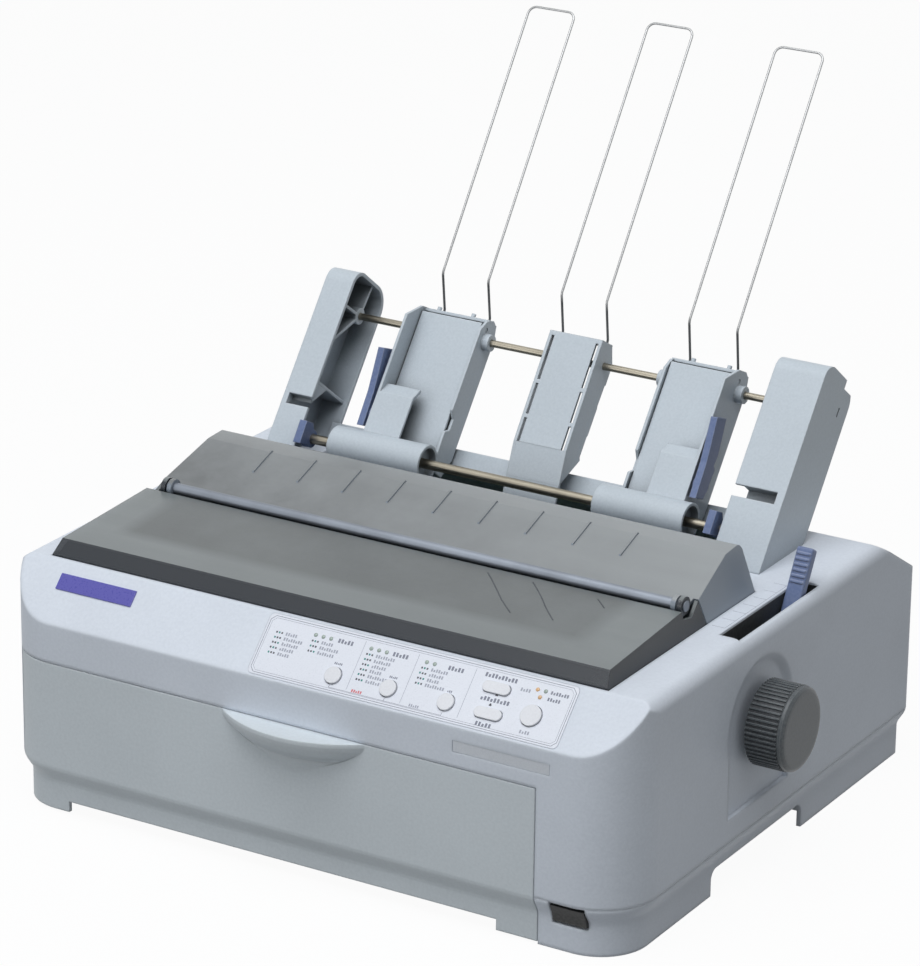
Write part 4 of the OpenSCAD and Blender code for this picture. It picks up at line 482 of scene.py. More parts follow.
class Finish(Enum):
    """Every finish on the printer."""

    # In each MouldedPlastic the value after depth is rub: pale edges, partly edge wear and partly a painted
    # highlight.
    CASE = MouldedPlastic("case_moulding", linear(222, 229, 240), 0.52, 900.0, 0.00005, 0.08, 0.0032)
    COVER = MouldedPlastic("front_cover_moulding", linear(214, 222, 228), 0.50, 900.0, 0.00005, 0.10, 0.0014)
    # The feeder's crevice value paints shade into its recesses.
    FEEDER = MouldedPlastic("feeder_moulding", linear(198, 208, 217), 0.46, 1100.0, 0.00004, 0.16, 0.0012,
                            mottle=0.04, crevice_shade=0.72)
    KEY = MouldedPlastic("key_moulding", linear(232, 234, 240), 0.34, 1500.0, 0.00002)
    KNOB = MouldedPlastic("knob_moulding", linear(71, 78, 83), 0.40, 900.0, 0.00004, 0.26, 0.0004)
    # Darker finish for the knob's grooves: painted shade.
    KNOB_GROOVE_SHADE = MouldedPlastic("knob_groove_shade", linear(46, 50, 55), 0.55, 900.0, 0.00004, 0.0, 0.0002)
    BLUE = MouldedPlastic("blue_moulding", linear(98, 116, 158), 0.42, 1000.0, 0.00003, 0.20)
    BLACK = MouldedPlastic("black_moulding", linear(34, 35, 38), 0.40, 1000.0, 0.00003, 0.12)
    ROCKER = MouldedPlastic("rocker_moulding", linear(10, 12, 13), 0.55, 900.0, 0.00003, 0.04, 0.0003)
    # Dark sheet finish for the slot's lining and the sheets inside the case: painted shade.
    SHADE_LINER = MouldedPlastic("slot_liner_moulding", linear(44, 48, 50), 0.55, 900.0, 0.00004, 0.05, 0.0003)
    DARK = MouldedPlastic("dark_moulding", linear(76, 79, 84), 0.50, 900.0, 0.00004, 0.15)
    GEAR = MouldedPlastic("gear_moulding", linear(226, 222, 206), 0.38, 1200.0, 0.00002)
    # Smoked lid and hood: the second colour is the painted sheen of faces that look up.
    SMOKE_LID = SmokedPlastic("smoked_lid", linear(40, 46, 54), linear(136, 143, 145), cover=0.82,
                              roughness=0.30, lying=(0.72, 0.93), rim=0.85, shade=0.50,
                              well=((-0.179, 0.134), (-0.147, 0.2)), fade=(0.012, 0.010))
    # The hood's last three values paint shade over its left and front parts.
    SMOKE_HOOD = SmokedPlastic("smoked_hood", linear(134, 144, 156), linear(172, 177, 180), cover=0.93,
                               roughness=0.36, lying=(0.55, 0.80), rim=0.15, shade=0.36,
                               well=((-0.70, 0.28), (-0.40, 0.016)), fade=(0.42, 0.05))
    ROD = DrawnMetal("ground_rod", linear(158, 152, 138), 0.30)
    BAR = DrawnMetal("lid_bar_steel", linear(142, 149, 160), 0.42, metallic=0.45)
    # Dark strips on the lid: painted shade of its creases.
    CREASE_SHADE = MouldedPlastic("lid_crease", linear(52, 58, 66), 0.45, 1200.0, 0.00002, 0.05, 0.0002)
    # Wire: the two colours are a painted reflection, dark low down and pale above the knee.
    WIRE = PaintedReflectionWire("wire_steel", linear(86, 88, 90), linear(172, 173, 174))
    ZINC = SheetMetal("zinc_sheet", linear(128, 134, 140))
    MOTOR = SheetMetal("motor_can", linear(92, 94, 98))
    RUBBER = Rubber("platen_rubber", linear(34, 34, 36))
    BOARD = CircuitBoard("circuit_board", linear(38, 92, 62), linear(84, 128, 78))
    OVERLAY = MouldedPlastic("overlay_film", linear(232, 236, 246), 0.32, 2000.0, 0.00001, 0.04, 0.0003, 0.02)
    BADGE = MouldedPlastic("badge_enamel", linear(88, 86, 174), 0.30, 1600.0, 0.00001, 0.10, 0.0004, 0.02,
                           fleck=0.012)
    PLATE = MouldedPlastic("model_plate", linear(216, 221, 229), 0.38, 1600.0, 0.00001, 0.02, 0.0003)
    INK_GREY = PrintedInk("ink_grey", linear(122, 126, 142))
    INK_PALE = PrintedInk("ink_pale", linear(162, 166, 180))
    INK_DARK = PrintedInk("ink_dark", linear(52, 54, 66))
    INK_TEAL = PrintedInk("ink_teal", linear(46, 132, 128))
    INK_PINK = PrintedInk("ink_pink", linear(204, 96, 104))
    LENS_GREEN = LampLens("lens_green", linear(160, 176, 168))
    LENS_AMBER = LampLens("lens_amber", linear(222, 178, 128))


class Wardrobe:
    """Makes each finish once and puts it on pieces and CAD nodes."""

    def __init__(self) -> None:
        """Start with nothing made."""
        self.made: dict[str, bpy.types.Material] = {}

    def material(self, finish: Finish) -> bpy.types.Material:
        """The material of a finish, made on first use."""
        if finish.name not in self.made:
            self.made[finish.name] = finish.value.make()
        return self.made[finish.name]

    def wear(self, obj: bpy.types.Object, finish: Finish) -> None:
        """Give a whole object one finish."""
        obj.data.materials.clear()
        obj.data.materials.append(self.material(finish))

    def dress(self, finish: Finish, nodes: Iterable[str]) -> None:
        """Give CAD nodes a finish.

        Args:
            finish: The finish.
            nodes: Names of the nodes.
        """
        for name in nodes:
            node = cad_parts[name]
            for slot in node.material_slots:
                slot.material = self.material(finish)
            if not node.material_slots:
                node.data.materials.append(self.material(finish))
            log.info("%s wears %s", name, finish.value.name)


# ---- Pieces ----


class Piece:
    """A mesh under construction, in row frame metres."""

    def __init__(self, name: str) -> None:
        """Start an empty piece."""
        self.name = name
        self.mesh = bmesh.new()

    def slab(self, place: Matrix, width: float, length: float, height: float) -> list[bmesh.types.BMEdge]:
        """Add a rectangular slab.

        Args:
            place: Its middle and turn, in row frame metres.
            width: Size along the place's X, in millimetres.
            length: Size along its Y.
            height: Size along its Z.

        Returns:
            The slab's edges.
        """
        size = Matrix.Diagonal((width * MM, length * MM, height * MM, 1.0))
        made = bmesh.ops.create_cube(self.mesh, size=1.0, matrix=place @ size)
        return list({edge for vert in made["verts"] for edge in vert.link_edges})

    def span(self, *ends: Pair) -> None:
        """Add a slab between two ends in X, in Y and in Z, in millimetres from the middle of the case."""
        self.slab(spot(*((low + high) / 2 for low, high in ends)), *(high - low for low, high in ends))

    def soften(self, edges: Sequence[bmesh.types.BMEdge], width: float, segments: int = 2) -> None:
        """Round edges by a width in millimetres."""
        bmesh.ops.bevel(self.mesh, geom=edges, offset=width * MM, segments=segments, profile=0.5,
                        affect="EDGES", material=-1)

    def close(self, wardrobe: Wardrobe, finish: Finish, body: str, slot: str,
              smooth: bool = False) -> bpy.types.Object:
        """Finish the piece as an object that rides on a body.

        Args:
            wardrobe: Where its material comes from.
            finish: Its finish.
            body: The CAD body that it rides on.
            slot: The record's material slot; not used.
            smooth: Whether its faces are smooth shaded.

        Returns:
            The finished object.
        """
        bmesh.ops.remove_doubles(self.mesh, verts=self.mesh.verts, dist=1e-7)
        bmesh.ops.recalc_face_normals(self.mesh, faces=self.mesh.faces)
        data = bpy.data.meshes.new(self.name)
        self.mesh.to_mesh(data)
        self.mesh.free()
        if smooth:
            data.polygons.foreach_set("use_smooth", [True] * len(data.polygons))
        obj = shown(self.name, data)
        wardrobe.wear(obj, finish)
        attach(obj, body)
        log.info("%s: %d faces on %s", self.name, len(data.polygons), body)
        return obj


@dataclass(frozen=True)
class Slope:
    """The control slope as a place to lay things on."""

    front_y: float = -175.0
    foot_z: float = 118.4
    angle: float = 45.5

    def matrix(self, x: float, up: float, lift: float) -> Matrix:
        """Place on the slope.

        Args:
            x: Millimetres to the right of the middle of the case.
            up: Millimetres up the slope.
            lift: Millimetres out of the slope.

        Returns:
            A matrix whose Z points out of the slope, in metres.
        """
        turn = Matrix.Rotation(math.radians(self.angle), 4, "X")
        return spot(0.0, self.front_y, self.foot_z) @ turn @ Matrix.Translation(Vector((x, up, lift)) * MM)


@dataclass
class PrintedLegends:
    """Marks on the control overlay: frames, row marks, dashes and arrows, all generic."""

    slope: Slope = field(default_factory=Slope)
    lift: float = 0.165
    thick: float = 0.05
    groups: tuple[tuple[float, int, int], ...] = ((-28.0, 5, 0), (-4.5, 3, 5), (31.0, 6, 7), (66.5, 4, 7))

    def dash(self, piece: Piece, x: float, up: float, width: float, height: float) -> None:
        """Add one flat mark, centred on a point of the slope."""
        piece.slab(self.slope.matrix(x, up, self.lift), width, height, self.thick)

    def word(self, piece: Piece, x: float, up: float, letters: int, height: float) -> None:
        """Add a run of small blocks that reads as a line of print from a distance and says nothing.

        Args:
            piece: What the blocks are added to.
            x: Left end, in millimetres from the middle of the case.
            up: Its middle up the slope.
            letters: How many blocks.
            height: Height of a block.
        """
        pitch = height * 0.82
        for k in range(letters):
            tall = height * (1.0 if (k * 5 + letters) % 3 else 0.68)
            self.dash(piece, x + (k + 0.5) * pitch, up - (height - tall) / 2, pitch * 0.62, tall)

    def frame_line(self, piece: Piece, across: Pair, rise: Pair, width: float, corner: float) -> None:
        """Add a thin outline with cut corners."""
        (x0, x1), (up0, up1) = across, rise
        for x in (x0, x1):
            self.dash(piece, x, (up0 + up1) / 2, width, up1 - up0 - 2 * corner)
        for up in (up0, up1):
            self.dash(piece, (x0 + x1) / 2, up, x1 - x0 - 2 * corner, width)
        for x, sx in ((x0, 1), (x1, -1)):
            for up, su in ((up0, 1), (up1, -1)):
                turn = Matrix.Rotation(-sx * su * math.pi / 4, 4, "Z")
                place = self.slope.matrix(x + sx * corner / 2, up + su * corner / 2, self.lift)
                piece.slab(place @ turn, corner * 1.42, width, self.thick)

    def make(self, wardrobe: Wardrobe) -> None:
        """Build the marks in five inks."""
        grey, dark, pale = Piece("legend_lines_grey"), Piece("legend_rows_dark"), Piece("legend_words_pale")
        teal, pink = Piece("legend_rows_teal"), Piece("legend_mark_pink")
        self.frame_line(grey, (-34.8, 160.8), (2.8, 37.6), 0.3, 2.6)
        self.frame_line(grey, (-33.6, 159.6), (4.0, 36.4), 0.15, 2.2)
        for x in (27.5, 62.0, 98.5):
            self.dash(pale, x, 20.5, 0.25, 30.0)
        for start, rows, titled in self.groups:
            for row in range(rows):
                up = 28.4 - row * 3.1
                for k in range(3):
                    ink = teal if (row + k) % 3 == 1 else dark
                    self.dash(ink, start + k * 1.7, up, 1.0, 1.1)
                self.word(pale, start + 5.6, up, 5 + (row * 3 + int(start)) % 4, 1.9)
            if titled:
                self.word(grey, start + 15.0, 32.0, 5, 2.5)
        for x, letters in ((14.0, 5), (49.6, 5), (86.6, 3)):
            self.word(grey, x, 18.9, letters, 1.3)
        for x0, x1 in ((16.6, 52.0), (52.0, 88.7)):
            for x in (x0, x1):
                self.dash(grey, x, 5.3, 0.2, 2.0)
            self.dash(grey, (x0 + x1) / 2, 4.5, x1 - x0, 0.2)
        self.word(pink, 30.6, 5.8, 5, 1.7)
        self.word(pale, 67.6, 5.8, 5, 1.6)
        for x, up, letters in ((104.4, 33.6, 10), (107.0, 20.1, 9), (109.8, 5.2, 5)):
            self.word(grey, x, up, letters, 2.5)
        for x, up in ((116.0, 23.2), (114.6, 16.9)):
            self.dash(dark, x, up, 1.6, 0.9)
            self.dash(dark, x, up + 0.7, 0.8, 0.7)
        for x, up, letters, ink in ((146.0, 32.0, 7, grey), (145.5, 28.0, 5, grey), (128.0, 30.0, 4, pale),
                                    (136.9, 6.6, 4, pale)):
            self.word(ink, x, up, letters, 2.0)
        for piece, finish in ((grey, Finish.INK_GREY), (dark, Finish.INK_DARK), (pale, Finish.INK_PALE),
                              (teal, Finish.INK_TEAL), (pink, Finish.INK_PINK)):
            piece.close(wardrobe, finish, "printer", "overlay_film")


@dataclass
class BarePlates:
    """The two plates that carry no lettering: the badge on the slope and the plate on the front."""

    slope: Slope = field(default_factory=Slope)
    badge: tuple[Pair, Pair] = ((-176.0, -124.0), (21.6, 31.8))
    plate: tuple[Pair, Pair] = ((98.3, 158.7), (103.9, 110.3))

    def make(self, wardrobe: Wardrobe) -> None:
        """Build both plates with softened edges."""
        (x0, x1), (s0, s1) = self.badge
        badge = Piece("badge_plate")
        badge.slab(self.slope.matrix((x0 + x1) / 2, (s0 + s1) / 2, 0.3), x1 - x0, s1 - s0, 0.9)
        badge.soften(badge.mesh.edges[:], 0.35)
        badge.close(wardrobe, Finish.BADGE, "printer", "overlay_film")
        (x0, x1), (z0, z1) = self.plate
        plate = Piece("front_plate")
        plate.span((x0, x1), (-174.85, -174.45), (z0, z1))
        plate.soften(plate.mesh.edges[:], 0.12)
        plate.close(wardrobe, Finish.PLATE, "printer", "overlay_film")


@dataclass
class LampLenses:
    """Low domes over the status lamps."""

    slope: Slope = field(default_factory=Slope)
    radius: float = 1.25
    lift: float = 0.12
    flatness: float = 0.45
    green: tuple[Pair, ...] = ((-4, 32), (1, 32), (6, 32), (32.2, 32), (37.2, 32), (42.2, 32), (68, 32),
                               (73, 32), (143, 32))
    amber: tuple[Pair, ...] = ((138, 32), (141, 28))

    def make(self, wardrobe: Wardrobe) -> None:
        """Build the lenses in two colours."""
        for name, places, finish in (("lamp_lenses_green", self.green, Finish.LENS_GREEN),
                                     ("lamp_lenses_amber", self.amber, Finish.LENS_AMBER)):
            piece = Piece(name)
            for x, up in places:
                place = self.slope.matrix(x, up, self.lift) @ Matrix.Diagonal((1.0, 1.0, self.flatness, 1.0))
                bmesh.ops.create_uvsphere(piece.mesh, u_segments=16, v_segments=8, radius=self.radius * MM,
                                          matrix=place)
            piece.close(wardrobe, finish, "printer", "overlay_film", smooth=True)


@dataclass
class PaperWires:
    """The three bent wires that sheets lean on, with properly rounded corners."""

    radius: float = 0.75
    lean: float = 37.6
    shaft: Pair = (67.4, 160.5)
    knee: float = 25.0
    tilt: float = -6.0
    rake: float = 34.8
    length: float = 176.0
    base: float = 102.0
    corner: float = 5.0
    foot: float = 9.5
    bend: float = 1.2
    sides: int = 12

    def route(self, x: float, depth: float, width: float) -> list[Vector]:
        """Centreline of one wire.

        Args:
            x: Its middle, from the middle of the case.
            depth: Depth of its feet in the feeder.
            width: Distance between its legs.

        Returns:
            Points in row frame metres, from foot to foot.
        """
        s, c = math.sin(math.radians(self.lean)), math.cos(math.radians(self.lean))

        def up_plate(along: float) -> Pair:
            """Point of the hopper's back, from a distance along it."""
            return (self.shaft[0] + depth * c + along * s, self.shaft[1] + along * c - depth * s)

        y, z = up_plate(self.base)
        t, k = math.radians(self.tilt), math.radians(self.rake)
        knee = (y + self.knee * math.sin(t), z + self.knee * math.cos(t))
        side = [up_plate(self.base - self.foot), up_plate(self.base - self.bend),
                (y + 0.9 * math.sin(t), z + 0.9 * math.cos(t)),
                (knee[0] - self.bend * math.sin(t), knee[1] - self.bend * math.cos(t)),
                (knee[0] + 0.4, knee[1] + 0.6),
                (knee[0] + 1.6 * math.sin(k), knee[1] + 1.6 * math.cos(k) + 0.2)]
        half = width / 2
        left = [body_point(x - half, p, q) for p, q in side]
        right = [body_point(x + half, p, q) for p, q in reversed(side)]
        top: list[Vector] = []
        for sign, order in ((-1, range(0, 7)), (1, range(6, -1, -1))):
            for step in order:
                a = math.radians(step * 15)
                across = sign * (half - self.corner + self.corner * math.cos(a))
                along = self.length - self.corner + self.corner * math.sin(a)
                top.append(body_point(x + across, knee[0] + along * math.sin(k),
                                      knee[1] + along * math.cos(k)))
        return left + top + right

    def make(self, wardrobe: Wardrobe) -> None:
        """Sweep a round section along each route."""
        for name, x, depth, width, body in (("wire_support_left", -88.0, 22.0, 32.0, "hopper_l"),
                                            ("wire_support_middle", -3.3, 17.0, 30.8, "middle"),
                                            ("wire_support_right", 81.8, 22.0, 32.0, "hopper_r")):
            piece = Piece(name)
            self.sweep(piece, self.route(x, depth, width))
            obj = piece.close(wardrobe, Finish.WIRE, body, "polished_steel", smooth=True)
            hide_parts("paper_wire_" + name.rsplit("_", 1)[1])

    def sweep(self, piece: Piece, route: Sequence[Vector]) -> None:
        """Extrude a circle along a route, turning it at each point."""
        heading = (route[1] - route[0]).normalized()
        place = Matrix.Translation(route[0]) @ heading.to_track_quat("Z", "X").to_matrix().to_4x4()
        ring = bmesh.ops.create_circle(piece.mesh, cap_ends=True, radius=self.radius * MM,
                                       segments=self.sides, matrix=place)["verts"]
        face = ring[0].link_faces[0]
        for index in range(1, len(route)):
            after = (route[min(index + 1, len(route) - 1)] - route[index - 1]).normalized()
            face = bmesh.ops.extrude_discrete_faces(piece.mesh, faces=[face])["faces"][0]
            bmesh.ops.translate(piece.mesh, verts=face.verts[:], vec=route[index] - route[index - 1])
            turn = heading.rotation_difference(after)
            bmesh.ops.rotate(piece.mesh, verts=face.verts[:], cent=route[index], matrix=turn.to_matrix())
            heading = after


@dataclass
class HandKnob:
    """Fluted knob on the end of the platen, with a plain flat face."""

    axis: Pair = (-23.0, 92.0)
    inner_x: float = 209.0
    outer_x: float = 233.0
    radius: float = 25.0
    flutes: int = 54
    flute_depth: float = 0.95
    rib_margin: float = 0.32
    shortest_strip: float = 12.0

    def strip(self, xs: Sequence[float]) -> bool:
        """Whether a face whose corners have these X values is a long strip of the barrel."""
        return len(xs) == 4 and max(xs) - min(xs) > self.shortest_strip * MM

    def make(self, wardrobe: Wardrobe) -> None:
        """Spin the barrel, raise its ribs and close both ends."""
        piece = Piece("fluted_knob")
        base = self.radius - self.flute_depth
        end = self.outer_x
        profile = ((self.inner_x, base - 2.0), (self.inner_x, base - 0.4), (self.inner_x + 0.6, base),
                   (end - 4.0, base), (end - 3.2, base + 0.55), (end - 1.7, base + 0.3),
                   (end - 0.6, base - 0.9), (end - 0.12, base - 2.2), (end, base - 4.0))
        steps = self.flutes * 2
        line = [piece.mesh.verts.new(body_point(x, self.axis[0], self.axis[1] + r)) for x, r in profile]
        edges = [piece.mesh.edges.new(pair) for pair in zip(line, line[1:])]
        centre = body_point(0.0, *self.axis)
        bmesh.ops.spin(piece.mesh, geom=line + edges, cent=centre, axis=(1.0, 0.0, 0.0), dvec=(0.0, 0.0, 0.0),
                       angle=math.tau, steps=steps, use_merge=True)
        bmesh.ops.remove_doubles(piece.mesh, verts=piece.mesh.verts, dist=1e-6)
        rims = [e for e in piece.mesh.edges if e.is_boundary]
        halfway = body_point((self.inner_x + self.outer_x) / 2, 0.0, 0.0).x
        for outer in (True, False):
            rim = [e for e in rims if (e.verts[0].co.x > halfway) == outer]
            bmesh.ops.contextual_create(piece.mesh, geom=rim)
        bmesh.ops.recalc_face_normals(piece.mesh, faces=piece.mesh.faces)
        self.raise_ribs(piece, centre, steps)
        obj = piece.close(wardrobe, Finish.KNOB, "platen", "dark_plastic")
        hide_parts("platen_knob")
        self.darken_grooves(obj, wardrobe, centre)

    def darken_grooves(self, obj: bpy.types.Object, wardrobe: Wardrobe, centre: Vector) -> None:
        """Give the strips between the ribs a darker finish, which paints shade in the grooves.

        Args:
            obj: The finished knob.
            wardrobe: Where the finish comes from.
            centre: A point on its axis.
        """
        obj.data.materials.append(wardrobe.material(Finish.KNOB_GROOVE_SHADE))
        limit = (self.radius - self.flute_depth * 0.6) * MM
        for face in obj.data.polygons:
            out = face.center - centre
            xs = [obj.data.vertices[v].co.x for v in face.vertices]
            if self.strip(xs) and math.hypot(out.y, out.z) < limit:
                face.material_index = 1

    def raise_ribs(self, piece: Piece, centre: Vector, steps: int) -> None:
        """Push every second strip of the barrel out as a rounded rib.

        Args:
            piece: The knob under construction.
            centre: A point on its axis.
            steps: Strips round the barrel.
        """
        long_faces = []
        for face in piece.mesh.faces:
            if self.strip([v.co.x for v in face.verts]):
                out = face.calc_center_median() - centre
                turn = math.atan2(out.z, out.y) / math.tau * steps
                if int(math.floor(turn + 0.01)) % 2 == 0:
                    long_faces.append(face)
        grown = bmesh.ops.inset_individual(piece.mesh, faces=long_faces, thickness=self.rib_margin * MM,
                                           depth=self.flute_depth * MM)
        log.info("knob: %d ribs raised, %d faces", len(long_faces), len(grown["faces"]))


@dataclass
class PaperLever:
    """Thin paper lever with grip bars on its front, standing in its slot."""

    pin: Triple = (196.45, 26.0, 129.0)
    width: float = 10.4
    depth: float = 6.4
    reach: float = 46.0
    lean: float = 28.9
    boss_radius: float = 5.0
    boss_width: float = 9.0
    grips: int = 6
    grip_pitch: float = 3.3

    def make(self, wardrobe: Wardrobe) -> None:
        """Build the blade, its foot on the pin and the grip bars."""
        piece = Piece("paper_lever")
        tilt = spot(*self.pin) @ Matrix.Rotation(math.radians(-self.lean), 4, "X")
        middle = tilt @ Matrix.Translation(Vector((0.0, 0.4, self.reach / 2 - 1.0)) * MM)
        piece.soften(piece.slab(middle, self.width, self.depth, self.reach + 2.0), 1.3, 3)
        across = spot(*self.pin) @ Matrix.Rotation(math.pi / 2, 4, "Y")
        bmesh.ops.create_cone(piece.mesh, cap_ends=True, segments=32, radius1=self.boss_radius * MM,
                              radius2=self.boss_radius * MM, depth=self.boss_width * MM, matrix=across)
        for k in range(self.grips):
            rest = Vector((0.0, 0.4 - self.depth / 2, self.reach - 4.0 - k * self.grip_pitch)) * MM
            piece.soften(piece.slab(tilt @ Matrix.Translation(rest), self.width - 1.8, 1.5, 1.5), 0.45)
        obj = piece.close(wardrobe, Finish.BLUE, "lever", "blue_plastic")
        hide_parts("release_lever")


@dataclass
class LidCreases:
    """Three fine dark strips in the lid's top that paint the shade of its creases."""

    lines: tuple[tuple[Pair, ...], ...] = (
        ((52.8, -62.6), (58.6, -68.6), (67.1, -78.0), (78.0, -90.0), (90.4, -101.9)),
        ((81.1, -61.2), (86.8, -67.0), (95.3, -76.1), (105.0, -87.6), (115.9, -98.9)),
        ((124.4, -63.7), (132.8, -71.7)))
    low: Pair = (-138.5, 156.0)
    high: Pair = (-56.0, 160.7)
    width: float = 0.75

    def make(self, wardrobe: Wardrobe) -> None:
        """Lay a flat strip along each line, just proud of the top."""
        piece = Piece("lid_creases")
        rise = (self.high[1] - self.low[1]) / (self.high[0] - self.low[0])
        for line in self.lines:
            for (xa, ya), (xb, yb) in zip(line, line[1:]):
                za, zb = (self.low[1] + (y - self.low[0]) * rise + 0.05 for y in (ya, yb))
                start, stop = body_point(xa, ya, za), body_point(xb, yb, zb)
                along = stop - start
                turn = along.to_track_quat("X", "Z").to_matrix().to_4x4()
                middle = Matrix.Translation((start + stop) / 2)
                piece.slab(middle @ turn, along.length / MM + 0.4, self.width, 0.2)
        piece.close(wardrobe, Finish.CREASE_SHADE, "lid", "smoked_plastic")


@dataclass
class SlotScale:
    """Fine moulded strokes on the deck beside the lever's slot."""

    x0: float = 180.2
    x1: float = 188.4
    first: float = -34.0
    pitch: float = 12.4
    count: int = 7
    deck: float = 147.0

    def make(self, wardrobe: Wardrobe) -> None:
        """Lay the strokes and the line that joins them."""
        piece = Piece("slot_scale")
        for k in range(self.count):
            self.stroke(piece, (self.x0 + self.x1) / 2, self.first + k * self.pitch, self.x1 - self.x0, 0.35)
        span = self.pitch * (self.count - 1)
        self.stroke(piece, self.x1, self.first + span / 2, 0.3, span)
        piece.close(wardrobe, Finish.INK_PALE, "printer", "case_plastic")

    def stroke(self, piece: Piece, x: float, y: float, width: float, length: float) -> None:
        """Add one thin stroke on the deck."""
        piece.slab(spot(x, y, self.deck + 0.02), width, length, 0.06)


@dataclass
class SlotShadeLiner:
    """Dark sheet that lines the lever's slot under the deck: painted shade that makes the deep slot dark."""

    x: Pair = (190.45, 202.4)
    y: Pair = (-43.95, 51.95)
    z: Pair = (125.1, 145.8)
    floor_end: float = 15.0
    thick: float = 0.2

    def make(self, wardrobe: Wardrobe) -> None:
        """Build four thin walls and the floor in front of the lever's pivot."""
        piece = Piece("slot_shade_liner")
        (x0, x1), (y0, y1), (z0, z1), t = self.x, self.y, self.z, self.thick
        piece.span((x0, x0 + t), (y0, y1), (z0, z1))
        piece.span((x1 - t, x1), (y0, y1), (z0, z1))
        piece.span((x0 + t, x1 - t), (y0, y0 + t), (z0, z1))
        piece.span((x0 + t, x1 - t), (y1 - t, y1), (z0, z1))
        piece.span((x0 + t, x1 - t), (y0 + t, self.floor_end), (z0, z0 + t))
        piece.close(wardrobe, Finish.SHADE_LINER, "printer", "dark_plastic")


@dataclass
class ShadeSheets:
    """Thin black sheets inside the case, under the chassis plate, beside it and behind the cooling slots:
    painted shade in openings that would show the pale floor.
    """

    sheets: tuple[tuple[Pair, Pair, Pair], ...] = (((-142.0, 142.0), (-9.0, 40.0), (11.75, 12.03)),
                                                   ((-200.0, -172.0), (-78.0, 54.0), (15.45, 15.75)),
                                                   ((159.0, 200.0), (-78.0, 54.0), (15.45, 15.75)),
                                                   ((-76.0, 71.0), (172.05, 172.45), (70.0, 102.0)))

    def make(self, wardrobe: Wardrobe) -> None:
        """Build each sheet as a slab with softened edges."""
        piece = Piece("dust_sheet")
        for sheet in self.sheets:
            piece.span(*sheet)
        piece.soften(piece.mesh.edges[:], 0.08, 1)
        piece.close(wardrobe, Finish.SHADE_LINER, "printer", "dark_plastic")


# ---- Studio ----


@dataclass(frozen=True)
class Lamp:
    """One square soft lamp: its place and what it faces in metres, its side in metres and its watts."""

    name: str
    place: Triple
    aim: Triple
    side: float
    power: float
    tint: Triple = (0.97, 0.985, 1.0)

    def hang(self) -> None:
        """Add the lamp to the scene."""
        data = bpy.data.lights.new(self.name, "AREA")
        data.size = self.side
        data.energy = self.power
        data.color = self.tint
        obj = shown(self.name, data)
        obj.location = self.place
        obj.rotation_euler = (Vector(self.aim) - Vector(self.place)).to_track_quat("-Z", "Y").to_euler()


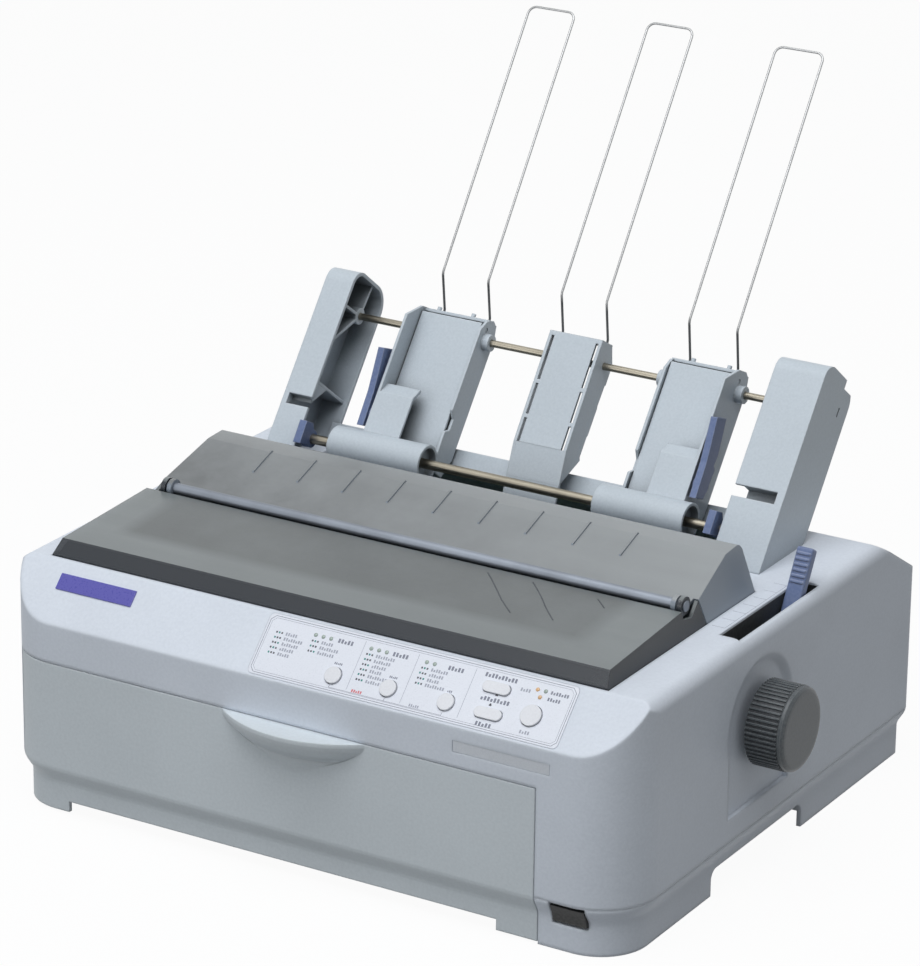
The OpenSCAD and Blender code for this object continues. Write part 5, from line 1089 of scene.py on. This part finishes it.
@dataclass
class Studio:
    """Floor, lamps, world and camera."""

    camera_place: Triple = (1278.5, -2141.0, 1122.5)
    azimuth: float = 31.0
    elevation: float = 20.46
    roll: float = 0.63
    focal_pixels: float = 4628.3
    centre_pixels: Pair = (453.9, 468.9)
    frame_pixels: tuple[int, int] = (920, 966)
    sensor: float = 36.0
    sky: Colour = (0.98, 1.0, 0.99, 1.0)
    sky_strength: float = 0.24
    floor_reach: float = 6.0
    floor_gap: float = 0.0004
    floor_white: float = 0.95
    lamps: tuple[Lamp, ...] = (Lamp("key_lamp", (0.05, -0.78, 2.3), (0.0, 0.0, 0.1), 2.0, 43.0),
                               Lamp("front_lamp", (-1.3, -2.7, 0.62), (0.0, -0.1, 0.12), 1.2, 9.0))

    def build(self) -> None:
        """Set up everything that isn't the printer."""
        self.camera()
        self.floor()
        self.world()
        for lamp in self.lamps:
            lamp.hang()
        bpy.context.scene.view_settings.view_transform = "Standard"

    def camera(self) -> None:
        """Place the camera and its lens."""
        data = bpy.data.cameras.new("view")
        cam = shown("view", data)
        a, e = math.radians(self.azimuth), math.radians(self.elevation)
        back = Vector((math.sin(a) * math.cos(e), -math.cos(a) * math.cos(e), math.sin(e)))
        right = Vector((math.cos(a), math.sin(a), 0.0))
        up = back.cross(right)
        roll = math.radians(self.roll)
        across = right * math.cos(roll) + up * math.sin(roll)
        above = up * math.cos(roll) - right * math.sin(roll)
        turn = Matrix((across, above, back)).transposed().to_4x4()
        cam.matrix_world = spot(*self.camera_place) @ turn
        data.sensor_fit = "VERTICAL"
        data.sensor_height = self.sensor
        height = self.frame_pixels[1]
        data.lens = self.focal_pixels * self.sensor / height
        data.shift_x = (self.frame_pixels[0] / 2 - self.centre_pixels[0]) / height
        data.shift_y = (self.centre_pixels[1] - height / 2) / height
        data.clip_end = 50.0
        bpy.context.scene.camera = cam

    def floor(self) -> None:
        """Pale floor that shows white and keeps a soft shadow."""
        piece = bmesh.new()
        bmesh.ops.create_grid(piece, x_segments=1, y_segments=1, size=self.floor_reach)
        data = bpy.data.meshes.new("floor")
        piece.to_mesh(data)
        piece.free()
        obj = shown("floor", data)
        obj.location.z = -self.floor_gap
        r = Recipe("floor_paper")
        direct = r.add("ShaderNodeLightPath").outputs["Is Camera Ray"]
        tone = r.mix(direct, linear(140, 142, 143), linear(236, 238, 241))
        paper = r.add("ShaderNodeBsdfDiffuse", Color=tone)
        glow = r.add("ShaderNodeEmission", Color=(1.0, 1.0, 1.0, 1.0), Strength=1.0)
        share = r.add("ShaderNodeMixShader", Fac=joined(r.tree, "MULTIPLY", seeing(r.tree), self.floor_white))
        r.tree.links.new(paper.outputs[0], share.inputs[1])
        r.tree.links.new(glow.outputs[0], share.inputs[2])
        r.tree.links.new(share.outputs[0], r.out.inputs["Surface"])
        data.materials.append(r.material)

    def world(self) -> None:
        """Soft grey light from all round that is seen as white."""
        world = bpy.data.worlds.new("studio")
        bpy.context.scene.world = world
        world.use_nodes = True
        tree = world.node_tree
        tree.nodes.clear()
        grey = tree.nodes.new("ShaderNodeBackground")
        grey.inputs["Color"].default_value = self.sky
        grey.inputs["Strength"].default_value = self.sky_strength
        white = tree.nodes.new("ShaderNodeBackground")
        white.inputs["Color"].default_value = (1.0, 1.0, 1.0, 1.0)
        share = tree.nodes.new("ShaderNodeMixShader")
        tree.links.new(seeing(tree), share.inputs[0])
        tree.links.new(grey.outputs[0], share.inputs[1])
        tree.links.new(white.outputs[0], share.inputs[2])
        out = tree.nodes.new("ShaderNodeOutputWorld")
        tree.links.new(share.outputs[0], out.inputs["Surface"])


class Dress:
    """Which CAD node wears which finish."""

    plan: dict[Finish, tuple[str, ...]] = {
        Finish.CASE: ("lower_case", "upper_case"),
        Finish.COVER: ("front_cover",),
        Finish.FEEDER: ("feeder_frame_left", "feeder_frame_right", "hopper_left", "hopper_right",
                        "pressure_plate_left", "pressure_plate_right", "middle_support"),
        Finish.KEY: ("button_round_1", "button_round_2", "button_round_3", "button_round_4",
                     "button_oblong_upper", "button_oblong_lower"),
        Finish.KNOB: ("platen_knob",),
        Finish.BLUE: ("release_lever", "set_lever_left", "set_lever_right", "lock_tab_left",
                      "lock_tab_right"),
        Finish.ROCKER: ("power_rocker",),
        Finish.BLACK: ("ribbon_cartridge", "carriage_belt", "ac_inlet"),
        Finish.DARK: ("carriage", "print_head", "tractor_left", "tractor_right", "interface_port"),
        Finish.GEAR: ("platen_gear", "idler_gear"),
        Finish.SMOKE_LID: ("printer_lid",),
        Finish.SMOKE_HOOD: ("rear_hood",),
        Finish.ROD: ("feeder_rod", "feeder_shaft", "carriage_rod", "platen_shaft", "tractor_shaft",
                     "drive_pulley", "idler_pulley", "feed_pinion", "case_screws"),
        Finish.BAR: ("lid_bar",),
        Finish.WIRE: ("paper_wire_left", "paper_wire_middle", "paper_wire_right"),
        Finish.ZINC: ("chassis_plate", "side_frame_left", "side_frame_right", "power_supply"),
        Finish.MOTOR: ("feed_motor", "carriage_motor"),
        Finish.RUBBER: ("platen_roller", "feed_roller_left", "feed_roller_right"),
        Finish.BOARD: ("control_board", "logic_board"),
        Finish.OVERLAY: ("control_overlay",),
    }

    def apply(self, wardrobe: Wardrobe) -> None:
        """Dress every node and report any that was missed."""
        worn: set[str] = set()
        for finish, nodes in self.plan.items():
            wardrobe.dress(finish, nodes)
            worn.update(nodes)
        for name in sorted(set(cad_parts) - worn):
            log.warning("%s has no finish", name)


def main() -> None:
    """Build the studio, dress the nodes and add the pieces."""
    Studio().build()
    wardrobe = Wardrobe()
    Dress().apply(wardrobe)
    for maker in (PrintedLegends(), BarePlates(), LampLenses(), PaperWires(), HandKnob(), PaperLever(),
                  LidCreases(), SlotScale(), SlotShadeLiner(), ShadeSheets()):
        maker.make(wardrobe)


if __name__ == "__main__":
    main()
